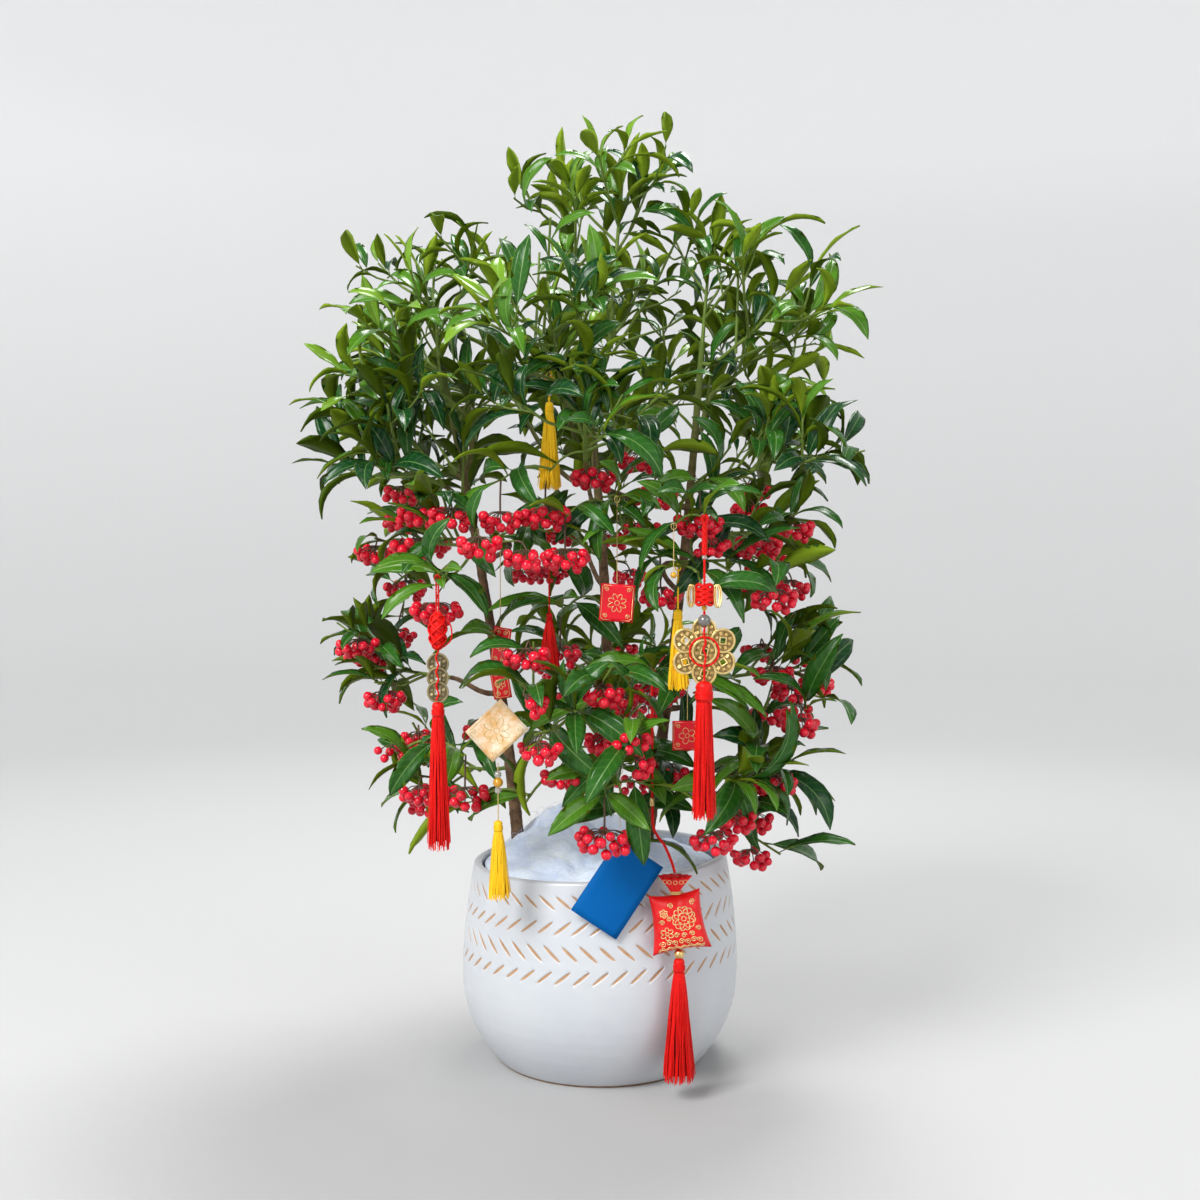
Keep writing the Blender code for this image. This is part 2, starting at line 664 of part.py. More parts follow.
    def grow_cluster(self, shoot, index, thicket, centres):
        """A thin stalk that arches over from a shoot and carries a few fruits."""
        root = shoot[1].lerp(shoot[2], STALK_ROOTS[index])
        along = (shoot[-1] - shoot[-2]).normalized()
        side, _ = side_and_normal(along, UP)
        first_turn = 1 if index % 2 else -1
        for attempt in range(STALK_TRIES):
            sideways = first_turn * (0.9 - 0.4 * (attempt // 2)) * (1 if attempt % 2 == 0 else -1)
            heading = (along + side * sideways + UP * (0.15 - 0.08 * attempt)).normalized()
            knee = root + heading * STALK_STRETCH
            end = knee + (heading - UP).normalized() * STALK_STRETCH
            points = [root, knee, end]
            berries = [end + offset for offset in self.berry_offsets(heading)]
            outer_stalk = [root.lerp(knee, ROOT_SKIP), knee, end]
            fat_stalk = twig_shape(outer_stalk, [STALK_RADIUS] * 3, CLEARANCE)
            fat = [fat_stalk] + [berry_shape(b, BERRY_RADIUS + CLEARANCE) for b in berries]
            if any(thicket.touched(shape, skip=(self.name,)) for shape in fat):
                continue
            if any(thicket.touched(berry_shape(b, BERRY_RADIUS), only=self.name) for b in berries):
                continue
            if not self.owns(end, centres):
                continue
            self.place(twig_shape(points, [STALK_RADIUS] * 3), "twig", thicket)
            for berry in berries:
                self.place(berry_shape(berry, BERRY_RADIUS), "fruit", thicket)
            return

    def berry_offsets(self, heading):
        """Centres of a cluster's fruits, which touch round its stalk's end."""
        side, normal = side_and_normal(UP, heading)
        turn = self.random.uniform(0, 2 * math.pi)
        offsets = []
        for i in range(BERRIES_PER_CLUSTER):
            angle = turn + 2 * math.pi * i / BERRIES_PER_CLUSTER
            out = side * math.cos(angle) + normal * math.sin(angle)
            offsets.append((out * BERRY_RING + UP * (BERRY_STEP * (i - 1))) * BERRY_RADIUS)
        return offsets

    def join(self, collection, materials):
        """One closed mesh object from all the pieces, by a Boolean union on a collection."""
        loose = bpy.data.collections.new(f"{self.name}_pieces")
        bpy.context.scene.collection.children.link(loose)
        objects = []
        for i, ((corners, faces), material) in enumerate(self.pieces):
            mesh = bpy.data.meshes.new(f"{self.name}_piece_{i}")
            mesh.from_pydata([tuple(c) for c in corners], [], faces)
            mesh.materials.append(materials[material])
            objects.append(bpy.data.objects.new(mesh.name, mesh))
        base = objects[0]
        collection.objects.link(base)
        for obj in objects[1:]:
            loose.objects.link(obj)
        union = base.modifiers.new("Join", "BOOLEAN")
        union.operation = "UNION"
        union.solver = "EXACT"
        union.operand_type = "COLLECTION"
        union.collection = loose
        union.material_mode = "TRANSFER"
        base.name = self.name
        joined = as_mesh_object(base)
        joined.name = joined.data.name = self.name
        for obj in objects[1:]:
            bpy.data.objects.remove(obj)
        bpy.data.collections.remove(loose)
        keep_largest_body(joined.data)
        return joined


def keep_largest_body(mesh):
    """Drops loose scraps, and fills sealed hollows by dropping the shells round them."""
    work = bmesh.new()
    work.from_mesh(mesh)
    unseen = set(work.faces)
    bodies = []
    while unseen:
        stack = [unseen.pop()]
        body = list(stack)
        while stack:
            for edge in stack.pop().edges:
                for face in edge.link_faces:
                    if face in unseen:
                        unseen.remove(face)
                        stack.append(face)
                        body.append(face)
        bodies.append(body)
    bodies.sort(key=lambda body: sum(face.calc_area() for face in body))
    for scrap in bodies[:-1]:
        bmesh.ops.delete(work, geom=scrap, context="FACES")
    bmesh.ops.triangulate(work, faces=work.faces)
    work.to_mesh(mesh)
    work.free()


def heading_of(azimuth, lift):
    """A direction from a compass angle in degrees and a slope."""
    angle = math.radians(azimuth)
    return Vector((math.cos(angle), math.sin(angle) * CROWN_DEPTH, lift)).normalized()


def plan_ring_masses(stems):
    """The boughs and the masses at their ends, ring by ring."""
    boughs, masses = [], []
    for ring in RINGS:
        for i, azimuth in enumerate(ring.azimuths):
            level = heading_of(azimuth, 0.0)
            end = Vector((CROWN_X, 0.0, ring.height)) + level * ring.reach
            end.z += BOUGH_TIP_STAGGER * math.sin(2.4 * i + ring.height * 40)
            heading = heading_of(azimuth, ring.lift)
            root_height = end.z - ring.rise * (1 + BOUGH_STAGGER * (i % 3 - 1))
            stem = nearest_stem(stems, end, root_height)
            name = f"{ring.name}_bough_{i + 1}"
            bough = side_limb(name, stem, root_height, end, heading, BOUGH_ROOT_RADIUS, BOUGH_TIP_RADIUS)
            boughs.append(bough)
            mass_name = f"{ring.name}_leaves_{i + 1}" if not ring.clusters else f"{ring.name}_{i + 1}"
            masses.append(Mass(mass_name, name, end + heading * GAP, heading, heading, ring))
    return boughs, masses


def plan_stem_masses(limbs):
    """The masses on the stems' tips and those that leave a stem's side with no bough."""
    masses = []
    for plan in STEM_MASSES:
        stem = limbs[plan.stem]
        if plan.at_tip:
            heading = stem.tip_direction()
            start, outward = stem.points[-1] + heading * GAP, heading
        else:
            place, along, radius = stem.at_height(plan.root_height)
            heading = heading_of(plan.azimuth, plan.lift)
            outward = (heading - along * heading.dot(along)).normalized()
            start = place + outward * (radius + GAP)
        masses.append(Mass(plan.name, plan.stem, start, outward, heading, plan))
    return masses


def main():
    """Builds the potted plant."""
    for obj in list(bpy.data.objects):
        bpy.data.objects.remove(obj)
    collection = bpy.data.collections.new(OBJECT_NAME)
    bpy.context.scene.collection.children.link(collection)
    materials = {name: make_material(name) for name in COLOURS}

    stems = [stem_limb(plan) for plan in STEMS]
    limbs = {stem.name: stem for stem in stems}
    leader = side_limb(
        "leader", limbs["middle_stem"], LEADER_START_HEIGHT, LEADER_TIP, LEADER_HEADING, *LEADER_RADII
    )
    limbs[leader.name] = leader
    boughs, masses = plan_ring_masses(stems)
    masses = plan_stem_masses(limbs) + masses

    thicket = Thicket()
    pot = make_pot(collection, materials["glazed_clay"])
    soil = make_soil(collection, materials["soil"])
    wadding = make_wadding(collection, materials["wadding"], stems)
    for piece in (pot, soil, wadding):
        thicket.add_mesh(piece.data, piece.name)
    for limb in stems + [leader] + boughs:
        sides = STEM_SIDES if limb in stems else BOUGH_SIDES
        obj = tube(limb.name, limb.points, limb.radii, sides, collection, materials["bark"])
        thicket.add_mesh(evaluated_mesh(obj), limb.name)

    for mass in masses:
        centres = [other.centre for other in masses if other is not mass]
        mass.grow(thicket, centres)
    for mass in masses:
        mass.join(collection, materials)


main()
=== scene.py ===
"""The looks of a potted coral ardisia: stems with bark, whorled glossy leaves, hanging fruit, festive
ornaments on its twigs and a carved planter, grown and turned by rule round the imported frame.

Metres, +Z up. The origin is the centre of the pot's flat foot, and the plant's front faces -Y.
"""

import json
import logging
import math
import random
from collections.abc import Callable, Iterable, Sequence
from dataclasses import dataclass, field
from enum import Enum
from typing import Any

import bmesh
import bpy
import numpy as np
from mathutils import Euler, Matrix, Vector, noise

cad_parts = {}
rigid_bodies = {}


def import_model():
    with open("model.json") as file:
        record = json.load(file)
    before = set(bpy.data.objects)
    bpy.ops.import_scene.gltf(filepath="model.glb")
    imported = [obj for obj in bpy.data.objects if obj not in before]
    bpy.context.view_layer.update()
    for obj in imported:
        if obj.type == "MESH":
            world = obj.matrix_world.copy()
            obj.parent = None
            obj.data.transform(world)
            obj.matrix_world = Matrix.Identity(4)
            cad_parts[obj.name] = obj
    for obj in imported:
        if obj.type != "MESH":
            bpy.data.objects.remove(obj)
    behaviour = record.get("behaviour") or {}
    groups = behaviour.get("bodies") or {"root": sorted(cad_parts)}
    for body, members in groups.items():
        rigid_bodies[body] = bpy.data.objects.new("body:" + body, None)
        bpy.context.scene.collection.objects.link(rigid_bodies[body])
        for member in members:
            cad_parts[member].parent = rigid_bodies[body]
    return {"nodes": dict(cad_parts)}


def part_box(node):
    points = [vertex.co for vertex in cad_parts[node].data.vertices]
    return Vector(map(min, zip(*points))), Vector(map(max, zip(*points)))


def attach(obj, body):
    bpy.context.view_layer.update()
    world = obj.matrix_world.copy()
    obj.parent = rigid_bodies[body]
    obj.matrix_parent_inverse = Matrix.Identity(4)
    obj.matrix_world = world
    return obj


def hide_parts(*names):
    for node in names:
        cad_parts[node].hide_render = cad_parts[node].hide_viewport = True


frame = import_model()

LOG = logging.getLogger("ardisia")
UP = Vector((0.0, 0.0, 1.0))
FRONT = Vector((0.0, -1.0, 0.0))
BODY = "root"
GAP = 0.0003
GOLDEN_ANGLE = math.radians(137.5)

# The photograph's view: the camera stands in front of the plant and looks down a little
CAMERA_DISTANCE = 1.6
CAMERA_HEIGHT = 0.55
CAMERA_PITCH = math.radians(3.30)
CAMERA_LENS = 48.36

# The planter, as in the part's source
POT_HEIGHT = 0.203
FOOT_RADIUS = 0.100
BELLY_RADIUS = 0.1375
BELLY_HEIGHT = 0.094
RIM_RADIUS = 0.1255
WALL = 0.008
FLOOR = 0.012
FOOT_CURVE = 2.4
SHOULDER_CURVE = 1.7
RIM_SLANT = 0.045
SOIL_TOP = 0.172
WADDING_RADIUS = 0.111
WADDING_EDGE = 0.196
WADDING_MOUND = 0.052
MOUND_CENTRE = (-0.030, 0.020)
MOUND_SPREAD = 0.066

# The crown and the limbs, as in the part's source
CROWN_X = -0.013
CROWN_DEPTH = 0.84
STEM_TIP_RADIUS = 0.0030
ROOT_FLARE = 0.0032
FLARE_HEIGHT = 0.016
BOUGH_RADII = (0.0028, 0.0021)
BOUGH_PULL = 0.38
BOUGH_STAGGER = 0.3
BOUGH_TIP_STAGGER = 0.012
LEADER_START_HEIGHT = 0.678
LEADER_TIP = Vector((0.014, -0.018, 0.774))
LEADER_HEADING = Vector((0.10, -0.08, 1.0)).normalized()
LEADER_RADII = (0.0030, 0.0022)
KNEE = 0.3
SIDE_ALONG = 0.62
SIDE_OUT = 0.78
SIDE_FLATNESS = 0.55
SIDE_LIFT = 0.3

# The finer growth that the solids leave out
SIDE_ROOTS = (0.02, 0.38, 0.62, 0.15)
SIDE_LENGTHS = (1.05, 0.93, 0.70, 0.80)
SIDE_TURNS = (0.0, math.pi, 1.6, 4.7)
FINE_ROOTS = (0.38, 0.72, 0.55)
FINE_LENGTH = 0.046
SOLID_LEAF = 0.094  # the length of the part's own leaves, each of which stands for several
SPARE_SHARE = 0.70  # how much of what a real leaf is shorter goes into its shoot
HANG_TWIG = 0.006  # an ornament further than this from a twig gets a little twig of its own
TWIG_RADII = (0.0022, 0.0015)
SIDE_RADII = (0.0016, 0.0011)
FINE_RADII = (0.0012, 0.0009)
REACH_MARGIN = 0.009  # how far a leaf's tip may stand out of its mass's own box
INNER_STEP = 0.056  # an inner twig leaves a stem every so often
INNER_FROM = 0.570


class Slot(Enum):
    """The record's material slots."""

    CLAY = "glazed_clay"
    SOIL = "soil"
    WADDING = "wadding"
    BARK = "bark"
    FOLIAGE = "foliage"
    FRUIT = "fruit"
    RED_SILK = "red_silk"
    YELLOW_SILK = "yellow_silk"
    BRASS = "coin_brass"
    CARD = "printed_card"
    BLUE_CARD = "blue_card"
    BEAD = "glass_bead"


class Graph:
    """A short way to add and link the nodes of one tree."""

    def __init__(self, tree: bpy.types.NodeTree) -> None:
        """Takes the tree to fill."""
        self.tree = tree

    def add(self, kind: str, inputs: dict[Any, Any] | None = None, **settings: Any) -> bpy.types.Node:
        """Adds a node.

        Args:
            kind: The node's type name.
            inputs: What to set or link on its sockets, by name or by place.
            settings: Attributes of the node itself.

        Returns:
            The new node.
        """
        node = self.tree.nodes.new(kind)
        for name, value in settings.items():
            setattr(node, name, value)
        for socket, value in (inputs or {}).items():
            self.feed(node.inputs[socket], value)
        return node

    def feed(self, socket: bpy.types.NodeSocket, value: Any) -> None:
        """Links a socket to another, or sets its value."""
        if isinstance(value, bpy.types.NodeSocket):
            self.tree.links.new(value, socket)
        else:
            socket.default_value = value

    def math(self, operation: str, first: Any, second: Any = 0.0, clamp: bool = False) -> bpy.types.NodeSocket:
        """One step of arithmetic, and its result's socket."""
        node = self.add("ShaderNodeMath", {0: first, 1: second}, operation=operation, use_clamp=clamp)
        return node.outputs[0]

    def blend(self, share: Any, first: Any, second: Any) -> bpy.types.NodeSocket:
        """A colour between two, and its socket."""
        colours = [(*c, 1.0) if isinstance(c, tuple) else c for c in (first, second)]
        node = self.add("ShaderNodeMix", {0: share, 6: colours[0], 7: colours[1]}, data_type="RGBA")
        return node.outputs[2]


def shader_group(name: str, sockets: Sequence[tuple[str, str, str, Any]]) -> tuple[bpy.types.NodeTree, Graph]:
    """Starts a shader node group.

    Args:
        name: The group's name.
        sockets: A direction, a name, a socket type and a starting value for each socket.

    Returns:
        The tree, and a graph to fill it with. Its input and output nodes are named In and Out.
    """
    tree = bpy.data.node_groups.new(name, "ShaderNodeTree")
    for direction, label, kind, value in sockets:
        socket = tree.interface.new_socket(name=label, in_out=direction, socket_type=kind)
        if value is not None:
            socket.default_value = value
    graph = Graph(tree)
    graph.add("NodeGroupInput", name="In")
    graph.add("NodeGroupOutput", name="Out")
    return tree, graph


def mottle_group() -> bpy.types.NodeTree:
    """A group that breaks a colour up by two sizes of noise, read on Object coordinates."""
    tree, graph = shader_group(
        "Mottle",
        [
            ("INPUT", "Light", "NodeSocketColor", (1, 1, 1, 1)),
            ("INPUT", "Dark", "NodeSocketColor", (0, 0, 0, 1)),
            ("INPUT", "Scale", "NodeSocketFloat", 40.0),
            ("INPUT", "Contrast", "NodeSocketFloat", 2.0),
            ("OUTPUT", "Color", "NodeSocketColor", None),
            ("OUTPUT", "Mask", "NodeSocketFloat", None),
        ],
    )
    source = tree.nodes["In"].outputs
    place = graph.add("ShaderNodeTexCoord").outputs["Object"]
    coarse = graph.add("ShaderNodeTexNoise", {"Vector": place, "Scale": source["Scale"], "Detail": 5.0})
    fine_scale = graph.math("MULTIPLY", source["Scale"], 6.0)
    fine = graph.add("ShaderNodeTexNoise", {"Vector": place, "Scale": fine_scale, "Detail": 3.0})
    both = graph.math("ADD", coarse.outputs["Fac"], graph.math("MULTIPLY", fine.outputs["Fac"], 0.35))
    centred = graph.math("SUBTRACT", both, 0.675)
    mask = graph.math("ADD", graph.math("MULTIPLY", centred, source["Contrast"]), 0.5, clamp=True)
    mix = graph.add("ShaderNodeMix", {0: mask, 6: source["Dark"], 7: source["Light"]}, data_type="RGBA")
    graph.feed(tree.nodes["Out"].inputs["Color"], mix.outputs[2])
    graph.feed(tree.nodes["Out"].inputs["Mask"], mask)
    return tree


def relief_group() -> bpy.types.NodeTree:
    """A group that turns noise on Object coordinates, drawn out along Z, into a bumped normal."""
    tree, graph = shader_group(
        "Fine relief",
        [
            ("INPUT", "Scale", "NodeSocketFloat", 300.0),
            ("INPUT", "Strength", "NodeSocketFloat", 0.2),
            ("INPUT", "Depth", "NodeSocketFloat", 0.0005),
            ("INPUT", "Drawn", "NodeSocketFloat", 1.0),
            ("OUTPUT", "Normal", "NodeSocketVector", None),
        ],
    )
    source = tree.nodes["In"].outputs
    place = graph.add("ShaderNodeTexCoord").outputs["Object"]
    stretch = graph.add("ShaderNodeCombineXYZ", {"X": 1.0, "Y": 1.0, "Z": source["Drawn"]}).outputs[0]
    drawn = graph.add("ShaderNodeVectorMath", {0: place, 1: stretch}, operation="MULTIPLY").outputs[0]
    grain = graph.add("ShaderNodeTexNoise", {"Vector": drawn, "Scale": source["Scale"], "Detail": 4.0})
    bump = graph.add(
        "ShaderNodeBump",
        {"Height": grain.outputs["Fac"], "Strength": source["Strength"], "Distance": source["Depth"]},
    )
    graph.feed(tree.nodes["Out"].inputs["Normal"], bump.outputs["Normal"])
    return tree


MOTTLE = mottle_group()
RELIEF = relief_group()


@dataclass(frozen=True)
class Finish:
    """A surface of one mottled colour with fine relief."""

    name: str
    light: tuple[float, float, float]
    dark: tuple[float, float, float]
    roughness: float
    mottle_scale: float = 40.0
    contrast: float = 2.0
    relief_scale: float = 300.0
    relief: float = 0.15
    relief_depth: float = 0.0004
    drawn: float = 1.0
    metallic: float = 0.0
    coat: float = 0.0
    sheen: float = 0.0
    subsurface: float = 0.0
    transmission: float = 0.0
    gloss: float = 0.5

    def build(self) -> bpy.types.Material:
        """Makes the material, once for each finish."""
        known = bpy.data.materials.get(self.name)
        if known:
            return known
        material = bpy.data.materials.new(self.name)
        material.use_nodes = True
        graph = Graph(material.node_tree)
        shader = material.node_tree.nodes["Principled BSDF"]
        constants = {
            "Roughness": self.roughness,
            "Metallic": self.metallic,
            "Coat Weight": self.coat,
            "Coat Roughness": 0.12,
            "Sheen Weight": self.sheen,
            "Subsurface Weight": self.subsurface,
            "Subsurface Scale": 0.004,
            "Transmission Weight": self.transmission,
            "Specular IOR Level": self.gloss,
        }
        for socket, value in constants.items():
            shader.inputs[socket].default_value = value
        mottle = graph.add("ShaderNodeGroup", node_tree=MOTTLE)
        graph.feed(mottle.inputs["Light"], (*self.light, 1.0))
        graph.feed(mottle.inputs["Dark"], (*self.dark, 1.0))
        graph.feed(mottle.inputs["Scale"], self.mottle_scale)
        graph.feed(mottle.inputs["Contrast"], self.contrast)
        graph.feed(shader.inputs["Base Color"], self.colour(graph, mottle.outputs["Color"]))
        relief = graph.add("ShaderNodeGroup", node_tree=RELIEF)
        graph.feed(relief.inputs["Scale"], self.relief_scale)
        graph.feed(relief.inputs["Strength"], self.relief)
        graph.feed(relief.inputs["Depth"], self.relief_depth)
        graph.feed(relief.inputs["Drawn"], self.drawn)
        graph.feed(shader.inputs["Normal"], relief.outputs["Normal"])
        material.diffuse_color = (*self.light, 1.0)
        return material

    def colour(self, graph: Graph, mottled: bpy.types.NodeSocket) -> bpy.types.NodeSocket:
        """The socket that feeds the base colour, which a finish with a pattern changes."""
        return mottled


@dataclass(frozen=True)
class BarkFinish(Finish):
    """Brown-grey bark low on a stem that turns green towards the crown."""

    green: tuple[float, float, float] = (0.105, 0.160, 0.030)
    green_from: float = 0.53
    green_to: float = 0.70

    def colour(self, graph: Graph, mottled: bpy.types.NodeSocket) -> bpy.types.NodeSocket:
        """Mixes the green in by height."""
        place = graph.add("ShaderNodeTexCoord").outputs["Object"]
        height = graph.add("ShaderNodeSeparateXYZ", {0: place}).outputs["Z"]
        share = graph.add(
            "ShaderNodeMapRange", {"Value": height, "From Min": self.green_from, "From Max": self.green_to}
        )
        return graph.blend(share.outputs[0], mottled, self.green)


@dataclass(frozen=True)
class LeafFinish(Finish):
    """A leaf's upper side: side veins and a pale toothed margin, read from the leaf's own UV map."""

    margin: tuple[float, float, float] = (0.20, 0.32, 0.10)
    vein: tuple[float, float, float] = (0.10, 0.22, 0.05)
    veins: float = 10.0

    def colour(self, graph: Graph, mottled: bpy.types.NodeSocket) -> bpy.types.NodeSocket:
        """Adds the veins and the margin to the mottled green."""
        place = graph.add("ShaderNodeUVMap", uv_map="leaf").outputs["UV"]
        split = graph.add("ShaderNodeSeparateXYZ", {0: place}).outputs
        across = graph.math("MULTIPLY", graph.math("ABSOLUTE", graph.math("SUBTRACT", split["X"], 0.5)), 2.0)
        swept = graph.math("SUBTRACT", split["Y"], graph.math("MULTIPLY", across, 0.12))
        wave = graph.math("SINE", graph.math("MULTIPLY", swept, self.veins * math.pi))
        share = graph.math("MULTIPLY", graph.math("POWER", graph.math("ABSOLUTE", wave), 12.0), 0.30)
        veined = graph.blend(share, mottled, self.vein)
        teeth = graph.math("SINE", graph.math("MULTIPLY", split["Y"], self.veins * 3.5 * math.pi))
        worn = graph.math("ADD", across, graph.math("MULTIPLY", graph.math("ABSOLUTE", teeth), 0.06))
        edge = graph.add("ShaderNodeMapRange", {"Value": worn, "From Min": 0.95, "From Max": 1.02})
        return graph.blend(edge.outputs[0], veined, self.margin)


@dataclass(frozen=True)
class FloorPaint(Finish):
    """Paint that grows paler away from the middle and up the backdrop, where the lamps reach less."""

    middle: tuple[float, float, float] = (0.54, 0.54, 0.54)
    high: tuple[float, float, float] = (0.87, 0.87, 0.87)

    def colour(self, graph: Graph, mottled: bpy.types.NodeSocket) -> bpy.types.NodeSocket:
        """Mixes the paler paints in by distance and by height."""
        place = graph.add("ShaderNodeTexCoord").outputs["Object"]
        reach = graph.add("ShaderNodeVectorMath", {0: place}, operation="LENGTH").outputs["Value"]
        height = graph.add("ShaderNodeSeparateXYZ", {0: place}).outputs["Z"]
        out = graph.add("ShaderNodeMapRange", {"Value": reach, "From Min": 0.4, "From Max": 3.2}).outputs[0]
        up = graph.add("ShaderNodeMapRange", {"Value": height, "From Min": 0.1, "From Max": 1.8}).outputs[0]
        return graph.blend(up, graph.blend(out, mottled, self.middle), self.high)


GLAZE = Finish("glaze", (0.555, 0.578, 0.598), (0.495, 0.52, 0.56), 0.34, 14.0, 1.6, 220.0, 0.08, 0.0005, coat=0.22)
# Two copies of the bare clay for the slashes: the clay's brown darkened as painted shade where a cut is deepest, and a
# paler copy as painted light on its sides
CLAY = Finish("bare_clay", (0.50, 0.31, 0.17), (0.38, 0.21, 0.11), 0.80, 120.0, 2.5, 900.0, 0.4, 0.0006)
PALE_CLAY_PAINTED_LIGHT = Finish("pale_clay", (0.80, 0.66, 0.50), (0.70, 0.55, 0.40), 0.75, 120.0, 2.5, 900.0, 0.4, 0.0006)
FOOT_CLAY = Finish("foot_clay", (0.36, 0.22, 0.12), (0.24, 0.14, 0.075), 0.85, 120.0, 2.5, 900.0, 0.4, 0.0006)
SOIL = Finish("soil", (0.10, 0.065, 0.04), (0.035, 0.022, 0.015), 0.95, 160.0, 3.0, 500.0, 0.9, 0.002)
COTTON = Finish(
    "cotton_wadding", (0.86, 0.94, 1.0), (0.62, 0.74, 1.0), 0.95, 34.0, 1.8, 260.0, 0.6, 0.0025, sheen=0.2, gloss=0.1
)
FRUIT = Finish(
    "fruit_skin", (0.80, 0.005, 0.031), (0.56, 0.0025, 0.017), 0.12, 60.0, 1.5, 900.0, 0.04, 0.0002,
    subsurface=0.05, gloss=0.50,
)
CALYX = Finish("fruit_tip", (0.10, 0.02, 0.01), (0.04, 0.01, 0.005), 0.6, 300.0)
STALK = Finish("fruit_stalk", (0.13, 0.075, 0.035), (0.05, 0.025, 0.015), 0.6, 300.0)
TWIG = Finish("green_twig", (0.170, 0.250, 0.042), (0.090, 0.140, 0.026), 0.5, 180.0, 2.0, 700.0, 0.4, 0.0004, gloss=0.2)
BARK = BarkFinish("bark_skin", (0.19, 0.115, 0.062), (0.065, 0.036, 0.020), 0.80, 120.0, 2.8, 600.0, 0.7, 0.0008, gloss=0.2)
RED_SILK = Finish(
    "red_silk", (0.82, 0.009, 0.006), (0.52, 0.003, 0.002), 0.40, 500.0, 1.5, 1500.0, 0.5, 0.0006, 0.06, gloss=0.18
)
# Darker copy of the red silk: painted shade for a tassel's core, between its strands
RED_SILK_PAINTED_SHADE = Finish("red_silk_shade", (0.30, 0.002, 0.002), (0.18, 0.001, 0.001), 0.6, 500.0, gloss=0.15)
YELLOW_SILK = Finish(
    "yellow_silk", (1.0, 0.67, 0.020), (0.92, 0.50, 0.012), 0.42, 500.0, 1.5, 1500.0, 0.5, 0.0006, 0.06, gloss=0.18
)
# Darker copy of the yellow silk: painted shade for a tassel's core, between its strands
YELLOW_SILK_PAINTED_SHADE = Finish("yellow_silk_shade", (0.76, 0.40, 0.006), (0.60, 0.27, 0.004), 0.6, 500.0, gloss=0.15)
GOLD_CORD = Finish("gold_cord", (0.80, 0.62, 0.25), (0.60, 0.42, 0.14), 0.40, 600.0, metallic=0.5)
BRASS = Finish(
    "coin_brass", (0.92, 0.71, 0.32), (0.62, 0.42, 0.15), 0.30, 160.0, 2.2, 700.0, 0.25, 0.0003, metallic=1.0
)
COIN_FIELD = Finish(
    "coin_field", (0.36, 0.24, 0.08), (0.12, 0.075, 0.025), 0.45, 420.0, 2.6, 900.0, 0.4, 0.0004, metallic=0.8
)
OLD_BRONZE = Finish(
    "old_bronze", (0.42, 0.34, 0.18), (0.24, 0.20, 0.10), 0.42, 200.0, 2.2, 700.0, 0.3, 0.0003, metallic=0.8
)
BRONZE_FIELD = Finish("bronze_field", (0.16, 0.13, 0.06), (0.07, 0.055, 0.03), 0.5, 300.0, 2.6, metallic=0.6)
GOLD_PRINT = Finish("gold_print", (0.90, 0.72, 0.36), (0.72, 0.52, 0.20), 0.32, 300.0, metallic=0.75)
RED_CARD = Finish(
    "red_card", (0.76, 0.006, 0.022), (0.62, 0.004, 0.014), 0.45, 90.0, 1.2, 900.0, 0.1, 0.0002, gloss=0.3
)
CREAM_CARD = Finish(
    "cream_card", (1.0, 0.90, 0.72), (0.86, 0.46, 0.12), 0.34, 75.0, 2.6, 500.0, 0.1, 0.0003, coat=0.1
)
BLUE_CARD = Finish(
    "blue_card", (0.001, 0.105, 0.35), (0.001, 0.086, 0.30), 0.60, 25.0, 1.2, 900.0, 0.1, 0.0002, gloss=0.06
)
CLEAR_BEAD = Finish("clear_bead", (0.86, 0.88, 0.86), (0.76, 0.78, 0.76), 0.08, coat=0.5, transmission=0.75)
DARK_BEAD = Finish("dark_bead", (0.26, 0.27, 0.26), (0.16, 0.17, 0.16), 0.10, coat=0.5, transmission=0.5)
AMBER_BEAD = Finish("amber_bead", (0.86, 0.47, 0.02), (0.74, 0.33, 0.01), 0.12, coat=0.5, transmission=0.25)
RED_CLOTH = Finish(
    "red_cloth", (0.80, 0.006, 0.008), (0.64, 0.004, 0.005), 0.40, 60.0, 1.4, 1200.0, 0.35, 0.0003, gloss=0.35
)


class Tint(Enum):
    """The leaf colours that are dealt out by spray: upper side, its dark part, and underside."""

    DEEP = ((0.008, 0.062, 0.013), (0.002, 0.024, 0.006), (0.055, 0.096, 0.004))
    MIDDLE = ((0.026, 0.118, 0.011), (0.009, 0.054, 0.007), (0.094, 0.152, 0.005))
    FRESH = ((0.078, 0.205, 0.011), (0.036, 0.122, 0.008), (0.170, 0.256, 0.012))
    YOUNG = ((0.165, 0.310, 0.018), (0.105, 0.220, 0.012), (0.210, 0.315, 0.018))

    def materials(self) -> tuple[bpy.types.Material, ...]:
        """The upper side, midrib and underside of this tint of leaf."""
        name = self.name.lower()
        light, dark, under = self.value
        vein = tuple(0.75 * a + 0.25 * b for a, b in zip(light, (0.17, 0.30, 0.06)))
        margin = tuple(0.6 * a + 0.4 * b for a, b in zip(light, (0.26, 0.38, 0.10)))
        pale = tuple(0.5 * a + 0.5 * b for a, b in zip(light, (0.20, 0.32, 0.08)))
        upper = LeafFinish(
            f"leaf_{name}_upper", light, dark, 0.22, 30.0, 1.2, 420.0, 0.20, 0.0007,
            gloss=0.24, margin=margin, vein=vein,
        )
        rib = Finish(f"leaf_{name}_rib", pale, vein, 0.45, 200.0)
        shade = tuple(0.78 * value for value in under)
        below = Finish(f"leaf_{name}_under", under, shade, 0.42, 30.0, 1.5, 400.0, 0.2, 0.0006, gloss=0.07)
        return upper.build(), rib.build(), below.build()


